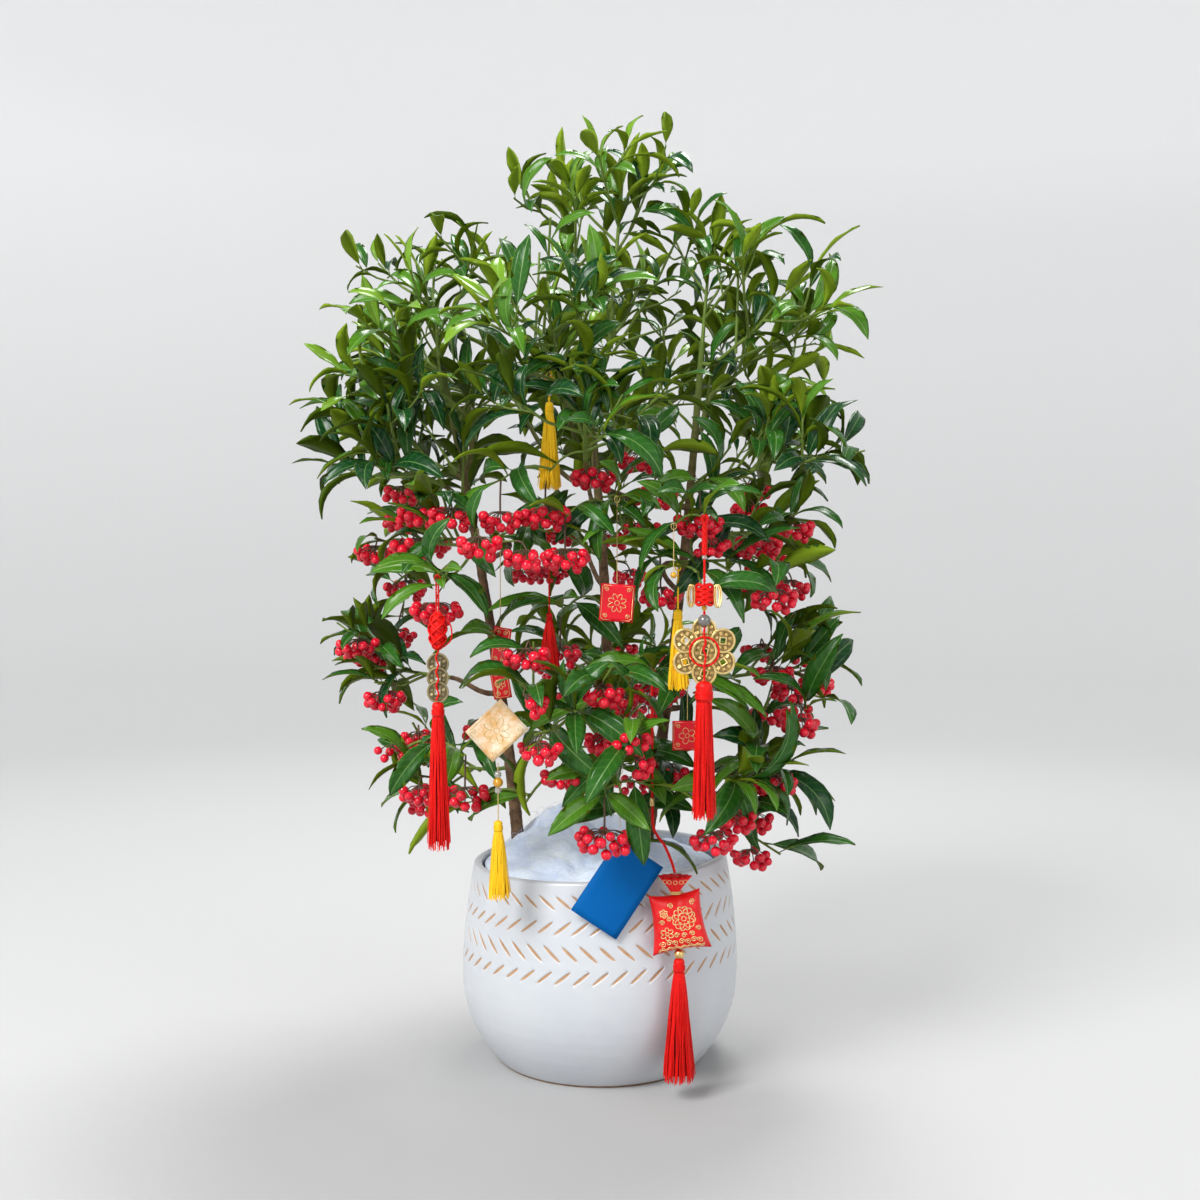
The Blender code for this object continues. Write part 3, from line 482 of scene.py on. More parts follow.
class Solid:
    """Points and faces gathered for one mesh, each face with its finish."""

    def __init__(self) -> None:
        """Starts empty."""
        self.points: list[Vector] = []
        self.faces: list[tuple[int, ...]] = []
        self.kinds: list[int] = []
        self.finishes: list[Finish] = []

    def add(self, points: Iterable[Vector], faces: Iterable[Sequence[int]], finish: Finish) -> None:
        """Adds one closed shape."""
        if finish not in self.finishes:
            self.finishes.append(finish)
        first = len(self.points)
        self.points += list(points)
        for face in faces:
            self.faces.append(tuple(first + i for i in face))
            self.kinds.append(self.finishes.index(finish))

    def rings(self, rings: Sequence[Sequence[Vector]], finish: Finish, closed: bool = False) -> None:
        """Adds a skin over rings of points, capped at both ends or closed on itself."""
        count = len(rings[0])
        points = [point for ring in rings for point in ring]
        faces: list[tuple[int, ...]] = []
        for i in range(len(rings) if closed else len(rings) - 1):
            a, b = i * count, (i + 1) % len(rings) * count
            for k in range(count):
                n = (k + 1) % count
                faces.append((a + k, a + n, b + n, b + k))
        if not closed:
            faces.append(tuple(reversed(range(count))))
            faces.append(tuple(range(len(points) - count, len(points))))
        self.add(points, faces, finish)

    def lathe(
        self, profile: Sequence[tuple[float, float]], centre: Vector, finish: Finish, sides: int = 20,
        ripple: Callable[[float, float], float] | None = None, depth: float = 1.0,
    ) -> None:
        """Adds a shape turned round an upright axis.

        Args:
            profile: Radius and height of each ring, from one end to the other.
            centre: Where the axis meets height zero.
            finish: The surface.
            sides: Corners of each ring.
            ripple: Scales the radius by angle and height.
            depth: Scales the shape along Y.
        """
        rings = []
        for radius, height in profile:
            ring = []
            for k in range(sides):
                angle = 2 * math.pi * k / sides
                wide = radius * (ripple(angle, height) if ripple else 1.0)
                ring.append(centre + Vector((wide * math.cos(angle), wide * math.sin(angle) * depth, height)))
            rings.append(ring)
        self.rings(rings, finish)

    def ball(self, centre: Vector, radius: float, finish: Finish, sides: int = 20) -> None:
        """Adds a sphere with a small flat at each pole."""
        angles = [math.pi * (0.02 + 0.96 * i / 12) for i in range(13)]
        self.lathe([(radius * math.sin(a), -radius * math.cos(a)) for a in angles], centre, finish, sides)

    def slab(
        self, place: Matrix, shape: Callable[[float, float, int], Vector], finish: Finish, columns: int, rows: int
    ) -> None:
        """Adds a thin closed body from a front and a back sheet.

        Args:
            place: Where it hangs.
            shape: Gives a local point from a share across, a share up (both -1 to 1) and the side, -1 or 1.
            finish: The surface.
            columns: Points across.
            rows: Points up.
        """
        points = []
        for side in (-1, 1):
            for row in range(rows):
                for column in range(columns):
                    u, v = column / (columns - 1) * 2 - 1, row / (rows - 1) * 2 - 1
                    points.append(place @ shape(u, v, side))
        half = columns * rows
        faces = []
        for row in range(rows - 1):
            for column in range(columns - 1):
                a = row * columns + column
                faces.append((a, a + 1, a + columns + 1, a + columns))
                faces.append((half + a + columns, half + a + columns + 1, half + a + 1, half + a))
        rim = [row * columns for row in range(rows - 1)] + [(rows - 1) * columns + c for c in range(columns - 1)]
        rim += [row * columns + columns - 1 for row in range(rows - 1, 0, -1)] + list(range(columns - 1, 0, -1))
        for a, b in zip(rim, rim[1:] + rim[:1]):
            faces.append((a, b, half + b, half + a))
        self.add(points, faces, finish)

    def build(self, name: str) -> bpy.types.Object:
        """Makes the mesh object, its faces outward."""
        obj = mesh_object(name, self.points, self.faces, [finish.build() for finish in self.finishes])
        obj.data.polygons.foreach_set("material_index", self.kinds)
        face_outward(obj.data)
        return obj


def face_outward(mesh: bpy.types.Mesh) -> None:
    """Turns all faces of closed shapes outward."""
    work = bmesh.new()
    work.from_mesh(mesh)
    bmesh.ops.recalc_face_normals(work, faces=work.faces)
    work.to_mesh(mesh)
    work.free()


def mesh_object(name: str, points: Any, faces: Any, materials: Iterable[bpy.types.Material]) -> bpy.types.Object:
    """A smooth-shaded mesh object from points and faces."""
    mesh = bpy.data.meshes.new(name)
    mesh.from_pydata([tuple(p) for p in points], [], [tuple(f) for f in faces])
    for material in materials:
        mesh.materials.append(material)
    mesh.shade_smooth()
    obj = bpy.data.objects.new(name, mesh)
    bpy.context.scene.collection.objects.link(obj)
    return obj


def baked(obj: bpy.types.Object, name: str) -> bpy.types.Object:
    """Replaces an object with live modifiers by a plain mesh object.

    Args:
        obj: The object whose evaluated mesh is wanted.
        name: The new object's name.

    Returns:
        The plain mesh object, at the origin.
    """
    bpy.context.view_layer.update()
    graph = bpy.context.evaluated_depsgraph_get()
    mesh = bpy.data.meshes.new_from_object(obj.evaluated_get(graph), depsgraph=graph)
    bpy.data.objects.remove(obj)
    mesh.name = name
    plain = bpy.data.objects.new(name, mesh)
    bpy.context.scene.collection.objects.link(plain)
    return plain


def finished(piece: bpy.types.Object, slot: Slot, *nodes: str) -> bpy.types.Object:
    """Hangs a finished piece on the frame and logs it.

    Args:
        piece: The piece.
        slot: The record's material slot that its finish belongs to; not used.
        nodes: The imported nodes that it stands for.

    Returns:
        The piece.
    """
    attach(piece, BODY)
    if nodes:
        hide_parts(*nodes)
    LOG.info("%s: %d faces", piece.name, len(piece.data.polygons))
    return piece


def joined(name: str, pieces: Sequence[bpy.types.Object]) -> bpy.types.Object:
    """One object from several, with all their materials."""
    materials: list[bpy.types.Material] = []
    work = bmesh.new()
    for piece in pieces:
        start = len(work.faces)
        places = []
        for material in piece.data.materials:
            if material not in materials:
                materials.append(material)
            places.append(materials.index(material))
        work.from_mesh(piece.data)
        work.faces.ensure_lookup_table()
        for face in work.faces[start:]:
            face.material_index = places[face.material_index] if places else 0
        bpy.data.objects.remove(piece)
    mesh = bpy.data.meshes.new(name)
    work.to_mesh(mesh)
    work.free()
    for material in materials:
        mesh.materials.append(material)
    obj = bpy.data.objects.new(name, mesh)
    bpy.context.scene.collection.objects.link(obj)
    return obj


def outer_radius(z: float) -> float:
    """The pot's outer radius at a height."""
    if z < BELLY_HEIGHT:
        below = 1 - z / BELLY_HEIGHT
        return BELLY_RADIUS - (BELLY_RADIUS - FOOT_RADIUS) * below**FOOT_CURVE
    above = (z - BELLY_HEIGHT) / (POT_HEIGHT - BELLY_HEIGHT)
    return BELLY_RADIUS - (BELLY_RADIUS - RIM_RADIUS) * above**SHOULDER_CURVE


def geometry_tree(name: str, sockets: Sequence[tuple[str, str]]) -> tuple[bpy.types.NodeTree, Graph]:
    """Starts a Geometry Nodes tree with a geometry input and output and the named inputs."""
    tree = bpy.data.node_groups.new(name, "GeometryNodeTree")
    tree.interface.new_socket(name="Geometry", in_out="INPUT", socket_type="NodeSocketGeometry")
    for label, kind in sockets:
        tree.interface.new_socket(name=label, in_out="INPUT", socket_type=kind)
    tree.interface.new_socket(name="Geometry", in_out="OUTPUT", socket_type="NodeSocketGeometry")
    graph = Graph(tree)
    graph.add("NodeGroupInput", name="In")
    graph.add("NodeGroupOutput", name="Out")
    return tree, graph


def named_value(graph: Graph, name: str, kind: str) -> bpy.types.NodeSocket:
    """The socket of a named attribute."""
    node = graph.add("GeometryNodeInputNamedAttribute", data_type=kind)
    node.inputs["Name"].default_value = name
    return next(socket for socket in node.outputs if socket.enabled and socket.name == "Attribute")


def scatter_tree(parts: int) -> bpy.types.NodeTree:
    """A tree that sets a template on each point, turned and sized by the point's own attributes.

    Args:
        parts: How many materials a template has, told apart by its faces' attribute part.

    Returns:
        The tree, with inputs Templates and Material 1 to Material parts.
    """
    sockets = [("Templates", "NodeSocketCollection")]
    sockets += [(f"Material {k + 1}", "NodeSocketMaterial") for k in range(parts)]
    tree, graph = geometry_tree(f"Scatter {parts}", sockets)
    source = tree.nodes["In"].outputs
    shapes = graph.add("GeometryNodeCollectionInfo", {"Collection": source["Templates"]})
    shapes.inputs["Separate Children"].default_value = True
    shapes.inputs["Reset Children"].default_value = True
    placed = graph.add(
        "GeometryNodeInstanceOnPoints",
        {
            "Points": source["Geometry"],
            "Instance": shapes.outputs[0],
            "Instance Index": named_value(graph, "variant", "INT"),
            "Rotation": named_value(graph, "turn", "FLOAT_VECTOR"),
            "Scale": named_value(graph, "size", "FLOAT_VECTOR"),
        },
    )
    placed.inputs["Pick Instance"].default_value = True
    flow = graph.add("GeometryNodeRealizeInstances", {0: placed.outputs[0]}).outputs[0]
    for k in range(parts):
        same = graph.add(
            "FunctionNodeCompare", {2: named_value(graph, "part", "INT"), 3: k}, data_type="INT", operation="EQUAL"
        )
        flow = graph.add(
            "GeometryNodeSetMaterial",
            {"Geometry": flow, "Selection": same.outputs[0], "Material": source[f"Material {k + 1}"]},
        ).outputs[0]
    graph.feed(tree.nodes["Out"].inputs[0], flow)
    return tree


def tube_tree() -> bpy.types.NodeTree:
    """A tree that turns edges with a radius attribute into tubes, roughened along their surface."""
    tree, graph = geometry_tree(
        "Tubes",
        [("Sides", "NodeSocketInt"), ("Roughness", "NodeSocketFloat"), ("Grain", "NodeSocketFloat"),
         ("Material 1", "NodeSocketMaterial")],
    )
    source = tree.nodes["In"].outputs
    lines = graph.add("GeometryNodeMeshToCurve", {"Mesh": source["Geometry"]})
    sized = graph.add(
        "GeometryNodeSetCurveRadius", {"Curve": lines.outputs[0], "Radius": named_value(graph, "radius", "FLOAT")}
    )
    circle = graph.add("GeometryNodeCurvePrimitiveCircle", {"Resolution": source["Sides"], "Radius": 1.0})
    tubes = graph.add(
        "GeometryNodeCurveToMesh", {"Curve": sized.outputs[0], "Profile Curve": circle.outputs[0]}
    )
    tubes.inputs["Fill Caps"].default_value = True
    if "Scale" in tubes.inputs:
        graph.feed(tubes.inputs["Scale"], named_value(graph, "radius", "FLOAT"))
    grain = graph.add("ShaderNodeTexNoise", {"Scale": source["Grain"], "Detail": 2.0})
    centred = graph.math("SUBTRACT", grain.outputs["Fac"], 0.5)
    height = graph.math("MULTIPLY", centred, source["Roughness"])
    normal = graph.add("GeometryNodeInputNormal").outputs[0]
    push = graph.add("ShaderNodeVectorMath", {0: normal, "Scale": height}, operation="SCALE")
    moved = graph.add("GeometryNodeSetPosition", {"Geometry": tubes.outputs[0], "Offset": push.outputs[0]})
    smooth = graph.add("GeometryNodeSetShadeSmooth", {"Geometry": moved.outputs[0]})
    flow = graph.add("GeometryNodeRealizeInstances", {0: smooth.outputs[0]}).outputs[0]
    flow = graph.add(
        "GeometryNodeSetMaterial", {"Geometry": flow, "Material": source["Material 1"]}
    ).outputs[0]
    graph.feed(tree.nodes["Out"].inputs[0], flow)
    return tree


def run_tree(obj: bpy.types.Object, tree: bpy.types.NodeTree, name: str, **values: Any) -> bpy.types.Object:
    """Runs a Geometry Nodes tree on an object and keeps its result as a plain mesh.

    Args:
        obj: The object that carries the points or edges.
        tree: The tree.
        name: The result's name.
        values: The tree's inputs by name, with _ for a space.

    Returns:
        The plain mesh object.
    """
    modifier = obj.modifiers.new("Build", "NODES")
    modifier.node_group = tree
    for item in tree.interface.items_tree:
        if item.item_type == "SOCKET" and item.in_out == "INPUT" and item.name.replace(" ", "_") in values:
            modifier[item.identifier] = values[item.name.replace(" ", "_")]
    return baked(obj, name)


def smooth_line(points: Sequence[Vector], per_span: int = 4) -> list[Vector]:
    """A line through the points with rounded bends, by Catmull and Rom's rule."""
    ends = [points[0] * 2 - points[1], *points, points[-1] * 2 - points[-2]]
    found = []
    for i in range(1, len(ends) - 2):
        a, b, c, d = ends[i - 1], ends[i], ends[i + 1], ends[i + 2]
        for k in range(per_span):
            t = k / per_span
            bend = (a * 2 - b * 5 + c * 4 - d) * t * t
            found.append((b * 2 + (c - a) * t + bend + (b * 3 - a - c * 3 + d) * t**3) / 2)
    return [*found, points[-1].copy()]


TUBES = tube_tree()
Line = tuple[list[Vector], Sequence[float]]


def tubes(
    name: str, lines: Sequence[Line], finish: Finish, sides: int = 6, roughness: float = 0.0, grain: float = 500.0
) -> bpy.types.Object:
    """Tubes along lines, each point with its own radius."""
    points: list[tuple] = []
    edges: list[tuple[int, int]] = []
    radii: list[float] = []
    for line, widths in lines:
        first = len(points)
        points += [tuple(p) for p in line]
        radii += list(widths)
        edges += [(first + i, first + i + 1) for i in range(len(line) - 1)]
    mesh = bpy.data.meshes.new(f"{name}_lines")
    mesh.from_pydata(points, edges, [])
    layer = mesh.attributes.new("radius", "FLOAT", "POINT")
    layer.data.foreach_set("value", radii)
    obj = bpy.data.objects.new(mesh.name, mesh)
    bpy.context.scene.collection.objects.link(obj)
    return run_tree(obj, TUBES, name, Sides=sides, Roughness=roughness, Grain=grain, Material_1=finish.build())


def scattered(
    name: str, tree: bpy.types.NodeTree, templates: bpy.types.Collection, materials: Sequence[bpy.types.Material],
    places: Sequence[Vector], turns: Sequence[Any], sizes: Sequence[float], variants: Sequence[int],
) -> bpy.types.Object:
    """Copies of the templates, one at each place, as one mesh."""
    mesh = bpy.data.meshes.new(f"{name}_points")
    mesh.from_pydata([tuple(p) for p in places], [], [])
    for label, values in (("turn", turns), ("size", [(size,) * 3 for size in sizes])):
        layer = mesh.attributes.new(label, "FLOAT_VECTOR", "POINT")
        layer.data.foreach_set("vector", np.asarray([tuple(v) for v in values], float).ravel())
    mesh.attributes.new("variant", "INT", "POINT").data.foreach_set("value", list(variants))
    obj = bpy.data.objects.new(mesh.name, mesh)
    bpy.context.scene.collection.objects.link(obj)
    wanted = {f"Material_{k + 1}": material for k, material in enumerate(materials)}
    return run_tree(obj, tree, name, Templates=templates, **wanted)


def turn_of(direction: Vector, normal: Vector) -> Euler:
    """The turn that takes +X to the direction and +Z near the normal."""
    side = normal.cross(direction).normalized()
    up = direction.cross(side).normalized()
    return Matrix((direction, side, up)).transposed().to_euler()


def distance_to_line(place: Vector, top: Vector, bottom: Vector) -> float:
    """How far a place is from the line between two points."""
    line = bottom - top
    share = max(0.0, min(1.0, (place - top).dot(line) / max(line.length_squared, 1e-9)))
    return (place - (top + line * share)).length


@dataclass(frozen=True)
class SlashRow:
    """One row of slashes: its top and bottom, and the azimuth in degrees at which a slash meets each."""

    top: float
    bottom: float
    top_turn: float
    bottom_turn: float


@dataclass
class Planter:
    """The thrown planter with four rows of slashes carved through its glaze."""

    slashes: int = 48
    depth: float = 0.0010
    ring_height: float = 0.00005
    edge: float = 0.19
    narrow: float = 0.10
    rows: tuple[SlashRow, ...] = (
        SlashRow(0.192, 0.177, -34.6, -26.0),
        SlashRow(0.1685, 0.154, -26.3, -34.3),
        SlashRow(0.146, 0.129, -31.0, -23.2),
        SlashRow(0.122, 0.1085, -18.8, -25.7),
    )
    across: tuple[float, ...] = (-0.44, -0.33, -0.24, -0.19, -0.12, 0.0, 0.12, 0.19, 0.24, 0.34)

    def levels(self) -> list[tuple[float, float, int]]:
        """The wall's grid rows from the rim down: height, column turn in degrees, and row of slashes or -1."""
        found = [(z, self.rows[0].top_turn, -1) for z in (0.2015, 0.200, 0.1975, 0.195)]
        for index, row in enumerate(self.rows):
            for step in range(15):
                share = step / 14
                z = row.top + (row.bottom - row.top) * share
                found.append((z, row.top_turn + (row.bottom_turn - row.top_turn) * share, index))
            if index + 1 < len(self.rows):
                below = self.rows[index + 1]
                for share in (0.33, 0.67):
                    z = row.bottom + (below.top - row.bottom) * share
                    found.append((z, row.bottom_turn + (below.top_turn - row.bottom_turn) * share, -1))
        last = self.rows[-1]
        for step in range(1, 46):
            found.append((last.bottom * (1 - step / 46), last.bottom_turn, -1))
        return found

    def taper(self, z: float, index: int, size: float) -> float:
        """How wide a slash is at a height, as a share of its widest."""
        if index < 0:
            return self.narrow
        row = self.rows[index]
        along = ((z - row.bottom) / (row.top - row.bottom) * 2 - 1) / size
        return max(self.narrow, max(0.0, 1 - along * along) ** 0.6)

    def level_ring(self, z: float, turn: float, index: int, sizes: Sequence[float]) -> tuple[list[Vector], list[float]]:
        """One ring of the wall with its slashes cut in, and how deep each point is cut."""
        pitch = 360.0 / self.slashes
        ring, cuts = [], []
        for slash in range(self.slashes):
            width = self.taper(z, index, sizes[slash])
            for offset in self.across:
                inside = abs(offset) <= self.edge
                angle = math.radians(turn + (slash + offset * (width if inside else 1.0)) * pitch)
                cut = 0.0
                if inside and index >= 0:
                    cut = (1 - (offset / self.edge) ** 2) * min(1.0, (width - self.narrow) * 1.6)
                swell = self.ring_height * math.sin(z * 520 + 2 * math.sin(angle))
                radius = outer_radius(z) + swell - self.depth * cut
                ring.append(Vector((radius * math.sin(angle), -radius * math.cos(angle), z)))
                cuts.append(cut)
        return ring, cuts

    def plain_ring(self, radius: float, z: float, turn: float) -> list[Vector]:
        """One ring with the grid's columns and no slashes."""
        pitch = 360.0 / self.slashes
        angles = [math.radians(turn + (s + offset) * pitch) for s in range(self.slashes) for offset in self.across]
        return [Vector((radius * math.sin(angle), -radius * math.cos(angle), z)) for angle in angles]

    def build(self) -> bpy.types.Object:
        """Makes the planter's inside, lip, wall and foot as one closed mesh."""
        rule = random.Random("slashes")
        sizes = [[rule.uniform(0.86, 1.0) for _ in range(self.slashes)] for _ in self.rows]
        inner = [(FOOT_RADIUS * 0.5, FLOOR), (outer_radius(FLOOR) - WALL - 0.010, FLOOR)]
        inner += [(outer_radius(z) - WALL, z) for z in (0.030, 0.070, 0.110, 0.150, 0.180, 0.196)]
        lip = ((0.96, 0.2010), (0.80, 0.2026), (0.50, 0.2032), (0.18, 0.2026))
        inner += [(RIM_RADIUS - WALL * share, z) for share, z in lip]
        rings = [self.plain_ring(radius, z, self.rows[0].top_turn) for radius, z in inner]
        cuts = [0.0] * (len(rings) * len(rings[0]))
        for z, turn, index in self.levels():
            ring, cut = self.level_ring(z, turn, index, sizes[index])
            rings.append(ring)
            cuts += cut
        for radius in (FOOT_RADIUS, FOOT_RADIUS * 0.6):
            rings.append(self.plain_ring(radius, 0.0, self.rows[-1].bottom_turn))
            cuts += [0.0] * len(rings[-1])
        for ring in rings:
            for point in ring:
                point.z += RIM_SLANT * point.x * point.z / POT_HEIGHT
        solid = Solid()
        solid.finishes = [GLAZE, CLAY, FOOT_CLAY, PALE_CLAY_PAINTED_LIGHT]
        solid.rings(rings, GLAZE)
        for number, face in enumerate(solid.faces):
            if len(face) > 4:
                continue
            if max(solid.points[i].z for i in face) < 0.0045:
                solid.kinds[number] = 2
            # Inside a slash the middle columns take the darker clay as painted shade, the others the paler clay as
            # painted light
            elif sum(cuts[i] for i in face) / 4 > 0.33:
                solid.kinds[number] = 1 if number % len(self.across) in (4, 5) else 3
        return finished(solid.build("planter"), Slot.CLAY, "pot")


@dataclass
class Filling:
    """The soil and the fluffy cotton wadding heaped on it."""

    ring_count: int = 80
    spokes: int = 180
    lump_height: float = 0.024
    lump_scale: float = 22.0
    fibres: int = 420
    radius: float = WADDING_RADIUS + 0.004

    def top(self, x: float, y: float) -> float:
        """Height of the wadding's surface: the heap of the part's source with round, soft lumps on it."""
        across, along = x - MOUND_CENTRE[0], y - MOUND_CENTRE[1]
        heap = WADDING_MOUND * math.exp(-(across**2 + along**2) / (2 * MOUND_SPREAD**2))
        place = Vector((x, y, 0.3))
        place += noise.noise_vector(place * 30) * 0.006
        lumps = 0.0
        for scale, share in ((self.lump_scale, 1.0), (self.lump_scale * 2.2, 0.42)):
            lumps += self.lump_height * share * (0.30 - noise.voronoi(place * scale)[0][0] ** 2)
        lumps += 0.0009 * noise.noise(place * 210)
        edge = min(1.0, math.hypot(x, y) / self.radius)
        return WADDING_EDGE - 0.001 + (heap + lumps) * (1 - edge**4)

    def build(self) -> None:
        """Makes the soil's finish, the heap and its stray fibres."""
        rings = []
        for ring in range(self.ring_count, 0, -1):
            radius = self.radius * ring / self.ring_count
            points = []
            for spoke in range(self.spokes):
                angle = 2 * math.pi * spoke / self.spokes
                x, y = radius * math.cos(angle), radius * math.sin(angle)
                points.append(Vector((x, y, self.top(x, y))))
            rings.append(points)
        low = [Vector((point.x * 0.99, point.y * 0.99, SOIL_TOP + GAP)) for point in rings[0]]
        solid = Solid()
        solid.rings([low, *rings], COTTON)
        heap = solid.build("wadding_heap")
        rule = random.Random("fibres")
        lines = []
        for _ in range(self.fibres):
            angle, out = rule.uniform(0, 2 * math.pi), self.radius * 0.93 * math.sqrt(rule.random())
            x, y = out * math.cos(angle), out * math.sin(angle)
            start = Vector((x, y, self.top(x, y) - 0.001))
            way = Vector((rule.gauss(0, 1), rule.gauss(0, 1), 0)).normalized()
            rise = rule.uniform(0.002, 0.006)
            length = rule.uniform(0.008, 0.020)
            points = [start, start + way * (length * 0.3) + UP * rise]
            points.append(start + way * (length * 0.7) + UP * (rise * rule.uniform(0.3, 1.1)))
            x, y = start.x + way.x * length, start.y + way.y * length
            points.append(Vector((x, y, self.top(x, y) + rule.uniform(-0.001, 0.001))))
            lines.append((smooth_line(points, 2), [0.00012] * 7))
        fluff = tubes("wadding_fibres", lines, COTTON, 3)
        finished(joined("cotton_wadding", [heap, fluff]), Slot.WADDING, "wadding")
        soil = frame["nodes"]["soil"]
        soil.data.materials.clear()
        soil.data.materials.append(SOIL.build())


@dataclass(frozen=True)
class StemPlan:
    """One stem: where it starts and ends, how it curves, and its thickness."""

    name: str
    foot: tuple[float, float]
    tip: tuple[float, float, float]
    lean_power: float
    bow: float
    foot_radius: float


STEMS = (
    StemPlan("left_stem", (-0.080, 0.004), (-0.155, -0.004, 0.685), 1.4, 0.0, 0.0066),
    StemPlan("middle_stem", (0.006, 0.014), (-0.022, 0.026, 0.752), 1.0, 0.013, 0.0068),
    StemPlan("right_stem", (0.040, -0.016), (0.100, -0.014, 0.710), 1.0, 0.006, 0.0064),
)


@dataclass(frozen=True)
class Sprays:
    """What a mass carries: its shoots' length, leaves on each and their length, fruit, and how leaves hang."""

    shoot: float
    leaf: float
    leaves: int
    clusters: int
    droop: float
    lift: float


@dataclass(frozen=True)
class Ring:
    """Masses round the plant at one height, each at the end of its own bough."""

    name: str
    azimuths: tuple[float, ...]
    height: float
    reach: float
    rise: float
    sprays: Sprays


SHOULDER = Sprays(0.070, 0.068, 6, 0, 0.35, 0.80)
SKIRT = Sprays(0.074, 0.076, 6, 0, 0.55, 0.45)
UPPER_FRUIT = Sprays(0.066, 0.082, 5, 6, 0.75, 0.05)
MIDDLE_FRUIT = Sprays(0.070, 0.086, 6, 6, 0.75, 0.15)
RINGS = (
    Ring("shoulder", (10, 65, 118, 162, 204, 262), 0.655, 0.130, 0.060, SHOULDER),
    Ring("skirt", tuple(30 + 60.0 * i for i in range(6)), 0.580, 0.150, 0.042, SKIRT),
    Ring("upper_fruit", tuple(18 + 72.0 * i for i in range(5)), 0.510, 0.122, 0.030, UPPER_FRUIT),
    Ring("middle_fruit", (182, 268, 356, 88), 0.372, 0.136, 0.022, MIDDLE_FRUIT),
)


@dataclass(frozen=True)
class StemMass:
    """A mass that grows straight from a stem, at its tip or from its side."""

    name: str
    stem: str
    root_height: float
    azimuth: float
    sprays: Sprays
    at_tip: bool = False


STEM_MASSES = (
    StemMass("left_tip_leaves", "left_stem", 0, 0, Sprays(0.074, 0.065, 6, 0, 0.30, 1.5), True),
    StemMass("middle_tip_leaves", "middle_stem", 0, 0, Sprays(0.074, 0.065, 6, 0, 0.30, 1.5), True),
    StemMass("leader_tip_leaves", "leader", 0, 0, Sprays(0.070, 0.065, 6, 0, 0.30, 1.5), True),
    StemMass("right_tip_leaves", "right_stem", 0, 0, Sprays(0.070, 0.065, 6, 0, 0.30, 1.5), True),
    StemMass("crown_leaves_1", "middle_stem", 0.700, 190, Sprays(0.135, 0.067, 6, 0, 0.35, 1.9)),
    StemMass("crown_leaves_2", "right_stem", 0.690, 318, Sprays(0.100, 0.067, 6, 0, 0.35, 0.9)),
    StemMass("crown_leaves_3", "middle_stem", 0.700, 60, Sprays(0.125, 0.067, 6, 0, 0.35, 1.3)),
    StemMass("low_fruit_1", "left_stem", 0.290, 190, Sprays(0.085, 0.088, 6, 6, 0.80, 0.15)),
    StemMass("low_fruit_2", "middle_stem", 0.300, 277, Sprays(0.105, 0.088, 6, 6, 0.80, 0.05)),
    StemMass("low_fruit_3", "right_stem", 0.285, 350, Sprays(0.105, 0.088, 6, 6, 0.80, 0.10)),
    StemMass("low_fruit_4", "middle_stem", 0.300, 95, Sprays(0.105, 0.088, 6, 6, 0.80, 0.15)),
)


class Limb:
    """A limb's centre line and its radius along it."""

    def __init__(self, name: str, points: list[Vector], radii: list[float]) -> None:
        """Takes the line's points and radii."""
        self.name = name
        self.points = points
        self.radii = radii

    def at_height(self, z: float) -> tuple[Vector, Vector, float]:
        """Place, direction and radius of the limb at a height."""
        for i in range(len(self.points) - 1):
            low, high = self.points[i], self.points[i + 1]
            if low.z <= z <= high.z:
                share = (z - low.z) / (high.z - low.z)
                radius = self.radii[i] + (self.radii[i + 1] - self.radii[i]) * share
                return low.lerp(high, share), (high - low).normalized(), radius
        raise ValueError(f"{self.name} doesn't reach a height of {z}")

    def tip_direction(self) -> Vector:
        """The way the limb points at its end."""
        return (self.points[-1] - self.points[-2]).normalized()


def stem_limb(plan: StemPlan, count: int = 45) -> Limb:
    """A stem's line from a level cut at the soil to its tip, by the part's rule, with finer steps."""
    foot = Vector((plan.foot[0], plan.foot[1], SOIL_TOP + GAP))
    tip = Vector(plan.tip)
    points, radii = [], []
    for i in range(count):
        share = (i / (count - 1)) ** 1.15
        across = share**plan.lean_power
        point = Vector((0, 0, foot.z + (tip.z - foot.z) * share))
        point.x = foot.x + (tip.x - foot.x) * across + plan.bow * math.sin(math.pi * share)
        point.y = foot.y + (tip.y - foot.y) * across
        flare = ROOT_FLARE * math.exp(-(point.z - foot.z) / FLARE_HEIGHT)
        points.append(point)
        radii.append(STEM_TIP_RADIUS + (plan.foot_radius - STEM_TIP_RADIUS) * (1 - share) + flare)
    return Limb(plan.name, points, radii)


def bezier(a: Vector, b: Vector, c: Vector, d: Vector, share: float) -> Vector:
    """A point on a cubic curve from a to d."""
    rest = 1 - share
    return a * rest**3 + b * 3 * rest**2 * share + c * 3 * rest * share**2 + d * share**3


def side_limb(
    name: str, stem: Limb, root_height: float, end: Vector, end_direction: Vector, radii: tuple[float, float]
) -> Limb:
    """A limb that leaves a stem squarely and bends to reach its end.

    Args:
        name: The limb's name.
        stem: The stem that it leaves.
        root_height: The height at which it leaves it.
        end: Where it ends.
        end_direction: The way it points there.
        radii: Its radius at its root and at its tip.

    Returns:
        The limb, sunk a little into its stem so that the bark closes over it.
    """
    place, along, stem_radius = stem.at_height(root_height)
    outward = end - place
    outward = (outward - along * outward.dot(along)).normalized()
    start = place + outward * (stem_radius + GAP)
    pull = BOUGH_PULL * (end - start).length
    points = [place + outward * (stem_radius * 0.5)]
    steps = 14
    for i in range(steps + 1):
        points.append(bezier(start, start + outward * pull, end - end_direction * pull, end, i / steps))
    count = len(points)
    widths = [radii[0] + (radii[1] - radii[0]) * i / (count - 1) for i in range(count)]
    widths[0] *= 1.7
    widths[1] *= 1.35
    return Limb(name, points, widths)


